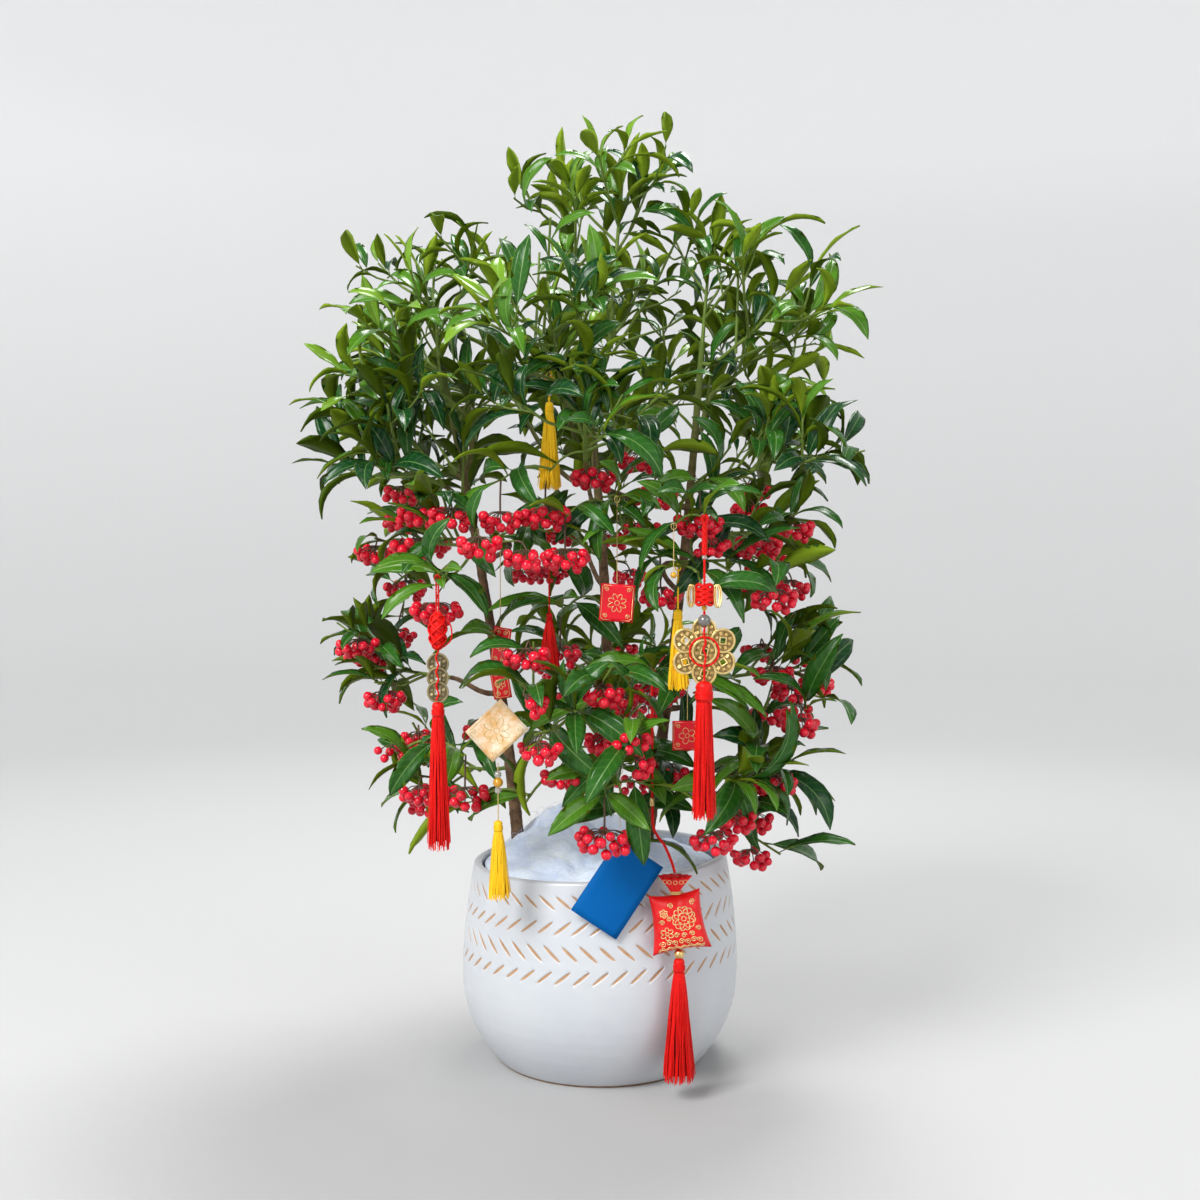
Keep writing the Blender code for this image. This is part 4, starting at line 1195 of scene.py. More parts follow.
def heading_of(azimuth: float, lift: float) -> Vector:
    """A direction from a compass angle in degrees and a slope."""
    angle = math.radians(azimuth)
    return Vector((math.cos(angle), math.sin(angle) * CROWN_DEPTH, lift)).normalized()


def side_and_normal(direction: Vector, hint: Vector) -> tuple[Vector, Vector]:
    """Two directions square to the given one, the second near the hint."""
    side = direction.cross(hint)
    if side.length < 1e-4:
        side = direction.cross(Vector((1.0, 0.0, 0.0)))
    side.normalize()
    return side, side.cross(direction).normalized()


@dataclass
class Shoot:
    """A twig that carries leaves: its line, its thickness and what grows on it."""

    mass: str
    points: list[Vector]
    radii: tuple[float, float]
    leaf: float
    leaves: int
    droop: float
    tints: tuple[Tint, Tint]
    young: bool = False

    def at(self, share: float) -> Vector:
        """The place at a share of its length."""
        position = share * (len(self.points) - 1)
        index = min(int(position), len(self.points) - 2)
        return self.points[index].lerp(self.points[index + 1], position - index)


@dataclass
class LeafPlace:
    """Where one leaf sits: its root, the line to its tip, its upper side, length, curl and tint."""

    root: Vector
    direction: Vector
    normal: Vector
    length: float
    curl: float
    tint: Tint


@dataclass
class Cluster:
    """One umbel of fruit: its stalk's line and the centre of each fruit."""

    stalk: list[Vector]
    berries: list[Vector]


Capsule = tuple[Vector, Vector, float]
SEEN_SPRAYS = (
    (-0.049, -0.150, 0.538, 17),
    (-0.031, -0.170, 0.501, 15),
    (-0.005, -0.120, 0.573, 16),
    (0.050, -0.140, 0.556, 15),
    (0.020, -0.165, 0.490, 13),
    (0.089, -0.160, 0.530, 18),
    (-0.089, -0.160, 0.534, 14),
    (0.037, -0.090, 0.589, 14),
    (-0.037, -0.100, 0.407, 12),
    (0.083, -0.130, 0.353, 16),
    (-0.092, -0.110, 0.372, 12),
    (0.009, -0.140, 0.332, 20),
    (0.004, -0.185, 0.252, 24),
    (-0.071, -0.150, 0.236, 7),
    (-0.125, -0.120, 0.279, 19),
    (0.103, -0.150, 0.243, 17),
    (0.124, -0.130, 0.258, 14),
    (0.056, -0.110, 0.464, 13),
    (-0.118, -0.115, 0.235, 0),
    (0.045, -0.165, 0.258, 0),
    (0.150, -0.100, 0.270, 0),
    (-0.055, -0.175, 0.300, 0),
)


class Growth:
    """Grows the masses on from the limbs by the part's rule, carried to finer twigs."""

    def __init__(self) -> None:
        """Lays out the limbs and every shoot."""
        self.stems = [stem_limb(plan) for plan in STEMS]
        self.limbs = {stem.name: stem for stem in self.stems}
        self.limbs["leader"] = side_limb(
            "leader", self.limbs["middle_stem"], LEADER_START_HEIGHT, LEADER_TIP, LEADER_HEADING, LEADER_RADII
        )
        self.shoots: list[Shoot] = []
        self.leaves: list[LeafPlace] = []
        self.clusters: list[Cluster] = []
        self.obstacles: list[Capsule] = []
        self.fruiting: list[tuple[str, Sprays, list[Shoot]]] = []
        for name, sprays, start, outward, heading in self.roots():
            self.lay_mass(name, sprays, start, outward, heading)
        self.lay_inner_twigs()

    def nearest_stem(self, place: Vector, height: float) -> Limb:
        """The stem whose line passes closest to a place, seen from above."""

        def distance(stem: Limb) -> float:
            where = stem.at_height(height)[0]
            return math.hypot(where.x - place.x, where.y - place.y)

        return min((s for s in self.stems if s.points[-1].z > height), key=distance)

    def roots(self) -> list[tuple[str, Sprays, Vector, Vector, Vector]]:
        """Each mass's name, sprays, start, first direction and heading."""
        found = []
        for plan in STEM_MASSES:
            stem = self.limbs[plan.stem]
            if plan.at_tip:
                heading = stem.tip_direction()
                start, outward = stem.points[-1], heading
            else:
                place, along, radius = stem.at_height(plan.root_height)
                heading = heading_of(plan.azimuth, plan.sprays.lift)
                outward = (heading - along * heading.dot(along)).normalized()
                start = place + outward * radius * 0.6
            found.append((plan.name, plan.sprays, start, outward, heading))
        for ring in RINGS:
            for i, azimuth in enumerate(ring.azimuths):
                end = Vector((CROWN_X, 0.0, ring.height)) + heading_of(azimuth, 0.0) * ring.reach
                end.z += BOUGH_TIP_STAGGER * math.sin(2.4 * i + ring.height * 40)
                heading = heading_of(azimuth, ring.sprays.lift)
                root_height = end.z - ring.rise * (1 + BOUGH_STAGGER * (i % 3 - 1))
                stem = self.nearest_stem(end, root_height)
                name = f"{ring.name}_bough_{i + 1}"
                self.limbs[name] = side_limb(name, stem, root_height, end, heading, BOUGH_RADII)
                mass = f"{ring.name}_{i + 1}" if ring.sprays.clusters else f"{ring.name}_leaves_{i + 1}"
                found.append((mass, ring.sprays, end, heading, heading))
        return found

    def lay_mass(self, name: str, sprays: Sprays, start: Vector, outward: Vector, heading: Vector) -> None:
        """Lays the main shoot, its side shoots and their finer twigs."""
        rule = random.Random(name)
        spare = SPARE_SHARE * (SOLID_LEAF - sprays.leaf)
        knee = start + outward * (KNEE * sprays.shoot)
        tip = knee + heading * ((1 - KNEE) * sprays.shoot + spare)
        main = [start, start.lerp(knee, 0.5), (knee * 2 + start + tip) / 4, knee.lerp(tip, 0.5), tip]
        turn = rule.uniform(0, 2 * math.pi)
        lines = [(main, TWIG_RADII, sprays.leaves + 1)]
        for index, root in enumerate(SIDE_ROOTS):
            length = sprays.shoot * SIDE_LENGTHS[index] + spare
            line = self.side_line(knee.lerp(tip, root), heading, turn + SIDE_TURNS[index], length)
            lines.append((line, SIDE_RADII, sprays.leaves))
        shoots = [self.shoot(name, sprays, rule, *line) for line in lines]
        for parent, root in zip(shoots[1:3 if sprays.clusters else 4], FINE_ROOTS):
            way = (parent.points[-1] - parent.points[-3]).normalized()
            line = self.side_line(parent.at(root), way, rule.uniform(0, 2 * math.pi), FINE_LENGTH)
            shoots.append(self.shoot(name, sprays, rule, line, FINE_RADII, sprays.leaves - 2))
        self.shoots += shoots
        for spread in (-0.6, 0.6) if name.startswith("shoulder") else (0.0,) if name.startswith("skirt") else ():
            way = Vector((heading.x, heading.y, 0.12 if spread else 1.2))
            way += way.cross(UP) * spread
            ends = start + way.normalized() * 0.070
            line = [start.lerp(ends, share) + UP * (0.010 * share * (1 - share)) for share in (0, 0.25, 0.5, 0.75, 1)]
            self.shoots.append(Shoot("", line, SIDE_RADII, sprays.leaf, 6, 0.6, self.deal(sprays, rule)))
        if sprays.clusters:
            self.fruiting.append((name, sprays, shoots))

    def shoot(
        self, name: str, sprays: Sprays, rule: random.Random, line: list[Vector], radii: tuple, leaves: int
    ) -> Shoot:
        """One shoot of a mass, with the tints that are dealt to it."""
        young = sprays.lift >= 0.8
        return Shoot(name, line, radii, sprays.leaf, leaves, sprays.droop, self.deal(sprays, rule), young)

    def side_line(self, start: Vector, along: Vector, turn: float, length: float) -> list[Vector]:
        """A side shoot's line, its outer half rising."""
        side, normal = side_and_normal(along, UP)
        out = side * math.cos(turn) + normal * (SIDE_FLATNESS * math.sin(turn))
        heading = (along * SIDE_ALONG + out.normalized() * SIDE_OUT).normalized()
        middle = start + heading * (length / 2)
        tip = middle + (heading + UP * SIDE_LIFT).normalized() * (length / 2)
        return [start, start.lerp(middle, 0.5), middle, middle.lerp(tip, 0.5), tip]

    def inner_roots(self, limb: Limb) -> list[tuple[Vector, Vector, float]]:
        """Where inner twigs leave a limb: place, direction and radius."""
        found = []
        if "stem" in limb.name:
            z = INNER_FROM
            while z < limb.points[-1].z - 0.02:
                found.append(limb.at_height(z))
                z += INNER_STEP
        elif "fruit" not in limb.name:
            for share in (0.6,):
                index = int(share * (len(limb.points) - 1))
                along = (limb.points[index + 1] - limb.points[index]).normalized()
                found.append((limb.points[index], along, limb.radii[index]))
        return found

    def lay_inner_twigs(self) -> None:
        """Short leafy twigs that fill the crown's inside, from the stems and the boughs."""
        for limb in list(self.limbs.values()):
            rule = random.Random(f"inner {limb.name}")
            turn = rule.uniform(0, 2 * math.pi)
            for number, (place, along, radius) in enumerate(self.inner_roots(limb)):
                angle = turn + number * GOLDEN_ANGLE
                side, normal = side_and_normal(along, FRONT if "stem" in limb.name else UP)
                out = side * math.cos(angle) + normal * math.sin(angle)
                way = (out + along * 0.5 + UP * 0.3).normalized()
                length = rule.uniform(0.040, 0.062)
                middle = place + way * (length * 0.5)
                tip = middle + (way + UP * 0.4).normalized() * (length * 0.5)
                line = [place + out * (radius * 0.5), place.lerp(middle, 0.5), middle, middle.lerp(tip, 0.5), tip]
                tints = (Tint.DEEP, Tint.MIDDLE) if place.z < 0.66 else (Tint.MIDDLE, Tint.FRESH)
                self.shoots.append(Shoot("", line, SIDE_RADII, 0.066, 4, 0.45, tints))

    def deal(self, sprays: Sprays, rule: random.Random) -> tuple[Tint, Tint]:
        """Two tints for a spray, older leaves first: darker low down, fresher at the top."""
        choice = [(Tint.DEEP, Tint.MIDDLE), (Tint.DEEP, Tint.DEEP), (Tint.MIDDLE, Tint.FRESH)]
        if sprays.clusters:
            choice = [(Tint.DEEP, Tint.MIDDLE), (Tint.MIDDLE, Tint.MIDDLE), (Tint.MIDDLE, Tint.FRESH)]
        elif sprays.lift >= 0.8:
            choice = [(Tint.MIDDLE, Tint.FRESH), (Tint.DEEP, Tint.MIDDLE), (Tint.FRESH, Tint.YOUNG)]
        return rule.choice(choice)

    def grow(self, obstacles: Iterable[Capsule]) -> None:
        """Grows fruit and then leaves on every shoot, clear of the obstacles."""
        self.obstacles = list(obstacles)
        for limb in self.stems:
            for i in range(0, len(limb.points) - 4, 4):
                self.obstacles.append((limb.points[i + 4], limb.points[i], 0.004))
        rule = random.Random("seen sprays")
        for *place, count in SEEN_SPRAYS:
            middle = Vector(place)
            twig = self.hang_twig(middle + Vector((0.0, 0.010, 0.036)), 0.074 if middle.z > 0.45 else 0.090, 1.8)
            end = middle + UP * 0.012
            self.hang_cluster(twig, twig.lerp(end, 0.6) + FRONT * 0.004, end, count, rule)
        for name, sprays, shoots in self.fruiting:
            rule = random.Random(f"fruit of {name}")
            for index in range(sprays.clusters):
                self.grow_cluster(shoots[(index + 1) % len(shoots)], rule)
        for number, shoot in enumerate(self.shoots):
            self.grow_whorls(shoot, random.Random(f"leaves {number}"))

    def grow_whorls(self, shoot: Shoot, rule: random.Random) -> None:
        """Leaves round a shoot: wide and arching at its foot, upright at its tip."""
        low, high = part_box(shoot.mass) if shoot.mass else (None, None)
        along = (shoot.points[-1] - shoot.points[-2]).normalized()
        side, normal = side_and_normal(along, UP)
        turn = rule.uniform(0, 2 * math.pi)
        outward = Vector((shoot.points[-1].x - CROWN_X, shoot.points[-1].y, 0.0)).normalized()
        for i in range(shoot.leaves):
            age = 1 - (i + 0.5) / shoot.leaves
            root = shoot.at(0.99 - 0.52 * age**1.35)
            spread = math.radians(rule.uniform(20, 30) + 56 * age**0.8)
            angle = turn + i * GOLDEN_ANGLE
            out = side * math.cos(angle) + normal * math.sin(angle)
            direction = along * math.cos(spread) + out * math.sin(spread)
            direction.z = max(direction.z, -0.45) + 0.20 - 0.34 * shoot.droop * age
            direction.normalize()
            inner = along - direction * along.dot(direction)
            stray = Vector((rule.gauss(0, 0.25), rule.gauss(0, 0.25), 0.0))
            lit = (inner * 0.6 + UP + outward * 0.15 + stray).normalized()
            young = shoot.young and age < 0.24
            length = shoot.leaf * rule.uniform(0.88, 1.12) * (0.82 + 0.18 * min(1.0, age * 2.0))
            curl = (0.90 + 0.90 * age + 0.4 * shoot.droop * age) * rule.uniform(0.75, 1.25)
            tint = shoot.tints[0] if age > 0.5 else shoot.tints[1]
            if young:
                length *= 0.95
                curl *= 0.5
                if tint is not Tint.DEEP:
                    tint = Tint.YOUNG
            self.try_leaf(LeafPlace(root, direction, lit, length, curl, tint), low, high)

    def try_leaf(self, leaf: LeafPlace, low: Vector | None, high: Vector | None) -> None:
        """Keeps a leaf, shortened where its tip would leave its mass's reach or cut something."""
        for share in (1.0, 0.85, 0.7):
            tip = leaf.root + leaf.direction * (leaf.length * share)
            inside = low is None or all(low[k] - REACH_MARGIN < tip[k] < high[k] + REACH_MARGIN for k in range(3))
            if inside and not self.blocked(leaf, share):
                leaf.length *= share
                self.leaves.append(leaf)
                return

    def touched(self, place: Vector, more: float = 0.0) -> bool:
        """Whether a place is inside an obstacle, or nearer to one than the distance given."""
        for top, bottom, radius in self.obstacles:
            reach = radius + more
            if bottom.z - reach < place.z < top.z + reach and distance_to_line(place, top, bottom) < reach:
                return True
        return False

    def blocked(self, leaf: LeafPlace, share: float) -> bool:
        """Whether a leaf would cut a stem, the planter, the wadding, an ornament or a cluster."""
        length = leaf.length * share
        for part in (0.35, 0.65, 1.0):
            bulge = leaf.curl * part * (1 - part) / 2
            place = leaf.root + leaf.direction * (length * part) + leaf.normal * (length * bulge)
            out = math.hypot(place.x, place.y)
            if place.z < POT_HEIGHT + 0.010 and out < RIM_RADIUS + 0.012:
                return True
            if (out < WADDING_RADIUS and place.z < 0.255) or self.touched(place):
                return True
        return False

    def grow_cluster(self, shoot: Shoot, rule: random.Random) -> None:
        """A hanging umbel of fruit below the leaves of a shoot."""
        root = shoot.at(rule.uniform(0.45, 0.85))
        along = (shoot.points[-1] - shoot.points[-2]).normalized()
        side, _ = side_and_normal(along, UP)
        heading = (along + side * rule.uniform(-1.0, 1.0) - UP * 0.15).normalized()
        knee = root + heading * rule.uniform(0.014, 0.022)
        end = knee + (heading * 0.6 - UP).normalized() * 0.007
        self.hang_cluster(root, knee, end, rule.randint(11, 18), rule)

    def hang_cluster(self, root: Vector, knee: Vector, end: Vector, count: int, rule: random.Random) -> None:
        """Fruit round the end of a stalk, left out where it would touch something."""
        spots = []
        for k in range(count):
            tilt = math.radians(18 + 84 * math.sqrt((k + 0.5) / count))
            angle = k * GOLDEN_ANGLE
            out = Vector((math.cos(angle) * math.sin(tilt), math.sin(angle) * math.sin(tilt), -math.cos(tilt)))
            out.z *= 0.75
            spots.append(end + out * (0.0046 * math.sqrt(count) * rule.uniform(0.88, 1.10)) - UP * 0.006)
        kept = []
        for spot in spread_out(spots):
            over_pot = spot.z < 0.262 and math.hypot(spot.x, spot.y) < RIM_RADIUS + 0.010
            if not over_pot and not self.touched(spot, 0.004):
                kept.append(spot)
        if len(kept) > 4:
            self.clusters.append(Cluster([root, root.lerp(knee, 0.6) + UP * 0.001, knee, end], kept))
            middle = end - UP * 0.012
            away = Vector((middle.x - CROWN_X, middle.y, 0.0)).normalized()
            self.obstacles.append((middle, middle + away * 0.045, 0.015))

    def hang_twig(self, wanted: Vector, leaf: float = 0.072, steep: float = 0.35) -> Vector:
        """Grows a little twig from the nearest shoot or stem to a point at or above the wanted place.

        Args:
            wanted: Where something is to hang.
            leaf: The length of the twig's leaves.
            steep: How much a drop counts against a step sideways when the nearest place is sought.

        Returns:
            The twig's end.
        """

        def cost(place: Vector) -> float:
            above = place.z - wanted.z
            return (place - wanted).xy.length + (-6.0 * above if above < 0 else steep * above)

        places = [shoot.at(share) for shoot in self.shoots for share in (0.3, 0.5, 0.7, 0.85)]
        places += [place for stem in self.stems for place in stem.points]
        place = min(places, key=cost)
        rise = 0.0 if steep > 1 else max(0.0, place.z - wanted.z)
        end = wanted + UP * (rise + 0.004)
        length = (end - place).length
        if length > HANG_TWIG:
            bow = UP * (0.14 * length)
            line = [place.lerp(end, share) + bow * (4 * share * (1 - share)) for share in (0, 0.25, 0.5, 0.75, 1)]
            radii = SIDE_RADII if length > 0.06 else FINE_RADII
            leaves = 6 if leaf > 0.08 else 4
            self.shoots.append(Shoot("", line, radii, leaf, leaves, 0.7, (Tint.MIDDLE, Tint.FRESH)))
        return end


def spread_out(spots: list[Vector], apart: float = 0.0098) -> list[Vector]:
    """Moves points apart until none is nearer to another than the given distance."""
    for _ in range(30):
        for i, first in enumerate(spots):
            for second in spots[i + 1:]:
                gap = second - first
                if 1e-6 < gap.length < apart:
                    push = gap.normalized() * ((apart - gap.length) / 2)
                    first -= push
                    second += push
    return spots


@dataclass(frozen=True)
class LeafShape:
    """One leaf of unit length: a folded blade with a raised midrib that curls along its length."""

    curl: float
    twist: float
    fold: float = 0.30
    width: float = 0.250
    stations: int = 10
    stalk: float = 0.09
    rib: float = 0.006

    def half_width(self, share: float) -> float:
        """Half the blade's width at a share of its length: widest at the middle, with a drawn-out tip."""
        if share <= self.stalk:
            return 0.011
        blade = (share - self.stalk) / (1 - self.stalk)
        shape = abs(math.sin(math.pi * min(1.0, blade**1.08))) ** 0.85
        return max(0.003, self.width / 2 * shape)

    def build(self, name: str) -> bpy.types.Object:
        """Makes the leaf with its ends on the X axis and its upper side to +Z."""
        rule = random.Random(name)
        points, faces, kinds, uvs = [], [], [], []
        place = Vector((0.0, 0.0, 0.0))
        wave = rule.uniform(0, 6.28)
        for i in range(self.stations + 1):
            share = i / self.stations
            bend = self.curl * (0.5 - share)
            forward = Vector((math.cos(bend), 0.0, math.sin(bend)))
            normal = Vector((-math.sin(bend), 0.0, math.cos(bend)))
            if i:
                place = place + forward / self.stations
            roll = self.twist * share
            side = Vector((0.0, math.cos(roll), 0.0)) + normal * math.sin(roll)
            lifted = normal * math.cos(roll) - Vector((0.0, 1.0, 0.0)) * math.sin(roll)
            half = self.half_width(share)
            ruffle = 0.010 * math.sin(wave + share * 17)
            inner = self.rib / max(half, self.rib * 1.5)
            middle = (1 + inner) / 2
            for across in (-1.0, -middle, -inner, inner, middle, 1.0):
                outer = abs(across) == 1.0
                scallop = 1 + (0.015 * (-1) ** i if outer else 0.0)
                rise = abs(across) * (half * self.fold + ruffle)
                sink = -0.003 if abs(across) == inner else 0.0
                points.append(place + side * (across * half * scallop) + lifted * (rise + sink))
                uvs.append((0.5 + across / 2, share))
            points.append(place - lifted * 0.015)
            uvs.append((0.5, share))
        ring = 7
        for i in range(self.stations):
            a = i * ring
            for k in range(5):
                faces.append((a + k, a + ring + k, a + ring + k + 1, a + k + 1))
                kinds.append(1 if k == 2 else 0)
            faces.append((a + 5, a + ring + 5, a + ring + 6, a + 6))
            faces.append((a + 6, a + ring + 6, a + ring, a))
            kinds += [2, 2]
        last = self.stations * ring
        faces += [tuple(range(ring)), tuple(reversed(range(last, last + ring)))]
        kinds += [2, 2]
        chord = points[last + ring - 1] - points[ring - 1]
        lean = Matrix.Rotation(math.atan2(chord.z, chord.x), 3, "Y")
        leaf = mesh_object(name, [lean @ point for point in points], faces, [])
        layer = leaf.data.uv_layers.new(name="leaf")
        for loop in leaf.data.loops:
            layer.data[loop.index].uv = uvs[loop.vertex_index]
        leaf.data.attributes.new("part", "INT", "FACE").data.foreach_set("value", kinds)
        face_outward(leaf.data)
        return leaf


def template_collection(name: str, shapes: Iterable[bpy.types.Object]) -> bpy.types.Collection:
    """A collection that holds template objects."""
    templates = bpy.data.collections.new(name)
    bpy.context.scene.collection.children.link(templates)
    for shape in shapes:
        bpy.context.scene.collection.objects.unlink(shape)
        templates.objects.link(shape)
    return templates


def drop_collection(templates: bpy.types.Collection) -> None:
    """Removes a collection of templates and what it holds."""
    for shape in list(templates.objects):
        bpy.data.objects.remove(shape)
    bpy.data.collections.remove(templates)


@dataclass
class Foliage:
    """Bark, twigs, leaves and fruit, each kind joined apart."""

    growth: Growth
    curls: tuple[float, ...] = (0.35, 0.8, 1.2, 1.6, 2.05)
    twists: tuple[float, ...] = (-0.45, 0.4)
    berry_radius: float = 0.0048

    def build_bark(self) -> None:
        """The stems and boughs, with leaf scars and a rough skin."""
        lines = []
        for limb in self.growth.limbs.values():
            per_span = 5 if "stem" in limb.name else 3
            points = smooth_line(limb.points, per_span)
            phase = random.Random(limb.name).uniform(0, 6)
            radii = []
            for i in range(len(points)):
                position = i / per_span
                index = min(int(position), len(limb.radii) - 2)
                radius = limb.radii[index] + (limb.radii[index + 1] - limb.radii[index]) * (position - index)
                scar = max(0.0, math.sin(phase + i * 0.55)) ** 8
                radii.append(radius * (1 + 0.09 * scar))
            lines.append((points, radii))
        finished(tubes("bark", lines, BARK, 14, 0.0011, 420.0), Slot.BARK, *sorted(self.growth.limbs))

    def build_twigs(self) -> None:
        """The green shoots that carry the leaves."""
        lines = []
        for shoot in self.growth.shoots:
            points = smooth_line(shoot.points, 2)
            last = len(points) - 1
            first, end = shoot.radii
            lines.append((points, [first + (end - first) * i / last for i in range(last + 1)]))
        masses = set(frame["nodes"]) - set(self.growth.limbs) - {"pot", "soil", "wadding"}
        finished(tubes("twigs", lines, TWIG, 6, 0.0004, 600.0), Slot.BARK, *sorted(masses))

    def build_leaves(self) -> None:
        """All leaves, one piece for each tint."""
        shapes = [LeafShape(curl, twist) for curl in self.curls for twist in self.twists]
        templates = template_collection(
            "leaf_templates", [shape.build(f"leaf_shape_{i:02d}") for i, shape in enumerate(shapes)]
        )
        tree = scatter_tree(3)
        for tint in Tint:
            leaves = [leaf for leaf in self.growth.leaves if leaf.tint is tint]
            variants = []
            for number, leaf in enumerate(leaves):
                wanted = min(range(len(self.curls)), key=lambda k: abs(self.curls[k] - leaf.curl))
                variants.append(wanted * len(self.twists) + number % len(self.twists))
            piece = scattered(
                f"leaves_{tint.name.lower()}", tree, templates, tint.materials(),
                [leaf.root for leaf in leaves], [turn_of(leaf.direction, leaf.normal) for leaf in leaves],
                [leaf.length for leaf in leaves], variants,
            )
            finished(piece, Slot.FOLIAGE)
        drop_collection(templates)

    def berry_shape(self) -> bpy.types.Object:
        """A round fruit of unit radius with a dark dot at its lower end."""
        solid = Solid()
        angles = (0.16, 0.45, 0.85, 1.3, 1.75, 2.2, 2.6, 2.95)
        solid.lathe([(math.sin(a), -math.cos(a)) for a in angles], Vector(), FRUIT, 10)
        shape = solid.build("fruit_shape")
        low = [max(shape.data.vertices[i].co.z for i in face.vertices) for face in shape.data.polygons]
        dark = [1 if z < -0.97 else 0 for z in low]
        shape.data.attributes.new("part", "INT", "FACE").data.foreach_set("value", dark)
        return shape

    def build_fruit(self) -> None:
        """The fruits and the stalks that carry them."""
        rule = random.Random("fruit")
        places, sizes, turns, lines = [], [], [], []
        for cluster in self.growth.clusters:
            stalk = smooth_line(cluster.stalk, 2)
            lines.append((stalk, [0.0009] * len(stalk)))
            end = cluster.stalk[-1]
            for berry in cluster.berries:
                size = self.berry_radius * rule.uniform(0.86, 1.08)
                away = (berry - end).normalized()
                places.append(berry)
                sizes.append(size)
                turns.append(away.to_track_quat("-Z", "Y").to_euler())
                bow = (end + berry) / 2 + UP * 0.0015
                lines.append(([end, bow, berry - away * size * 0.9], [0.0006, 0.0005, 0.0006]))
        templates = template_collection("fruit_templates", [self.berry_shape()])
        fruit = scattered(
            "fruit", scatter_tree(2), templates, [FRUIT.build(), CALYX.build()],
            places, turns, sizes, [0] * len(places),
        )
        drop_collection(templates)
        finished(fruit, Slot.FRUIT)
        finished(tubes("fruit_stalks", lines, STALK, 4), Slot.BARK)

    def build(self) -> None:
        """Makes every living piece."""
        self.build_bark()
        self.build_twigs()
        self.build_leaves()
        self.build_fruit()


Figure = Sequence[tuple[float, float]]


def card_frame(centre: Vector, yaw: float = 0.0, lean: float = 0.0, tilt: float = 0.0) -> Matrix:
    """Where a flat thing hangs: local X to the right, Z up and -Y to the front, turned in degrees."""
    turn = Euler((math.radians(lean), math.radians(tilt), math.radians(yaw)), "XYZ")
    return Matrix.Translation(centre) @ turn.to_matrix().to_4x4()


def blossom(petals: int, inner: float, outer: float, x: float = 0.0, y: float = 0.0) -> list[Figure]:
    """A flower drawn as one looping line and a ring at its heart."""
    line = []
    for i in range(petals * 10 + 1):
        angle = 2 * math.pi * i / (petals * 10)
        reach = inner + (outer - inner) * abs(math.sin(petals * angle / 2)) ** 0.7
        line.append((x + reach * math.cos(angle), y + reach * math.sin(angle)))
    heart = [(x + 0.6 * inner * math.cos(i * math.pi / 6), y + 0.6 * inner * math.sin(i * math.pi / 6)) for i in range(13)]
    return [line, heart]


def scroll(x: float, y: float, size: float, turns: float = 1.4, way: int = 1) -> Figure:
    """A small spiral."""
    line = []
    for i in range(17):
        angle = 2 * math.pi * turns * i / 16
        reach = size * (1 - 0.05 * i)
        line.append((x + way * reach * math.cos(angle), y + reach * math.sin(angle)))
    return line


def border(width: float, height: float, inset: float) -> Figure:
    """A rectangle with notched corners, inset from an edge."""
    w, h, n = width / 2 - inset, height / 2 - inset, inset * 0.9
    corners = [(-w + n, -h), (w - n, -h), (w - n, -h + n), (w, -h + n), (w, h - n), (w - n, h - n), (w - n, h)]
    return corners + [(-x, -y) for x, y in corners[1:]] + corners[:1]


def circle(centre: Vector, wide: float, deep: float, tall: float, steps: int = 20) -> list[Vector]:
    """A closed ring round a centre, with a radius along each axis; deep and tall share their phase."""
    angles = [2 * math.pi * i / steps for i in range(steps + 1)]
    return [centre + Vector((wide * math.cos(a), deep * math.sin(a), tall * math.sin(a))) for a in angles]


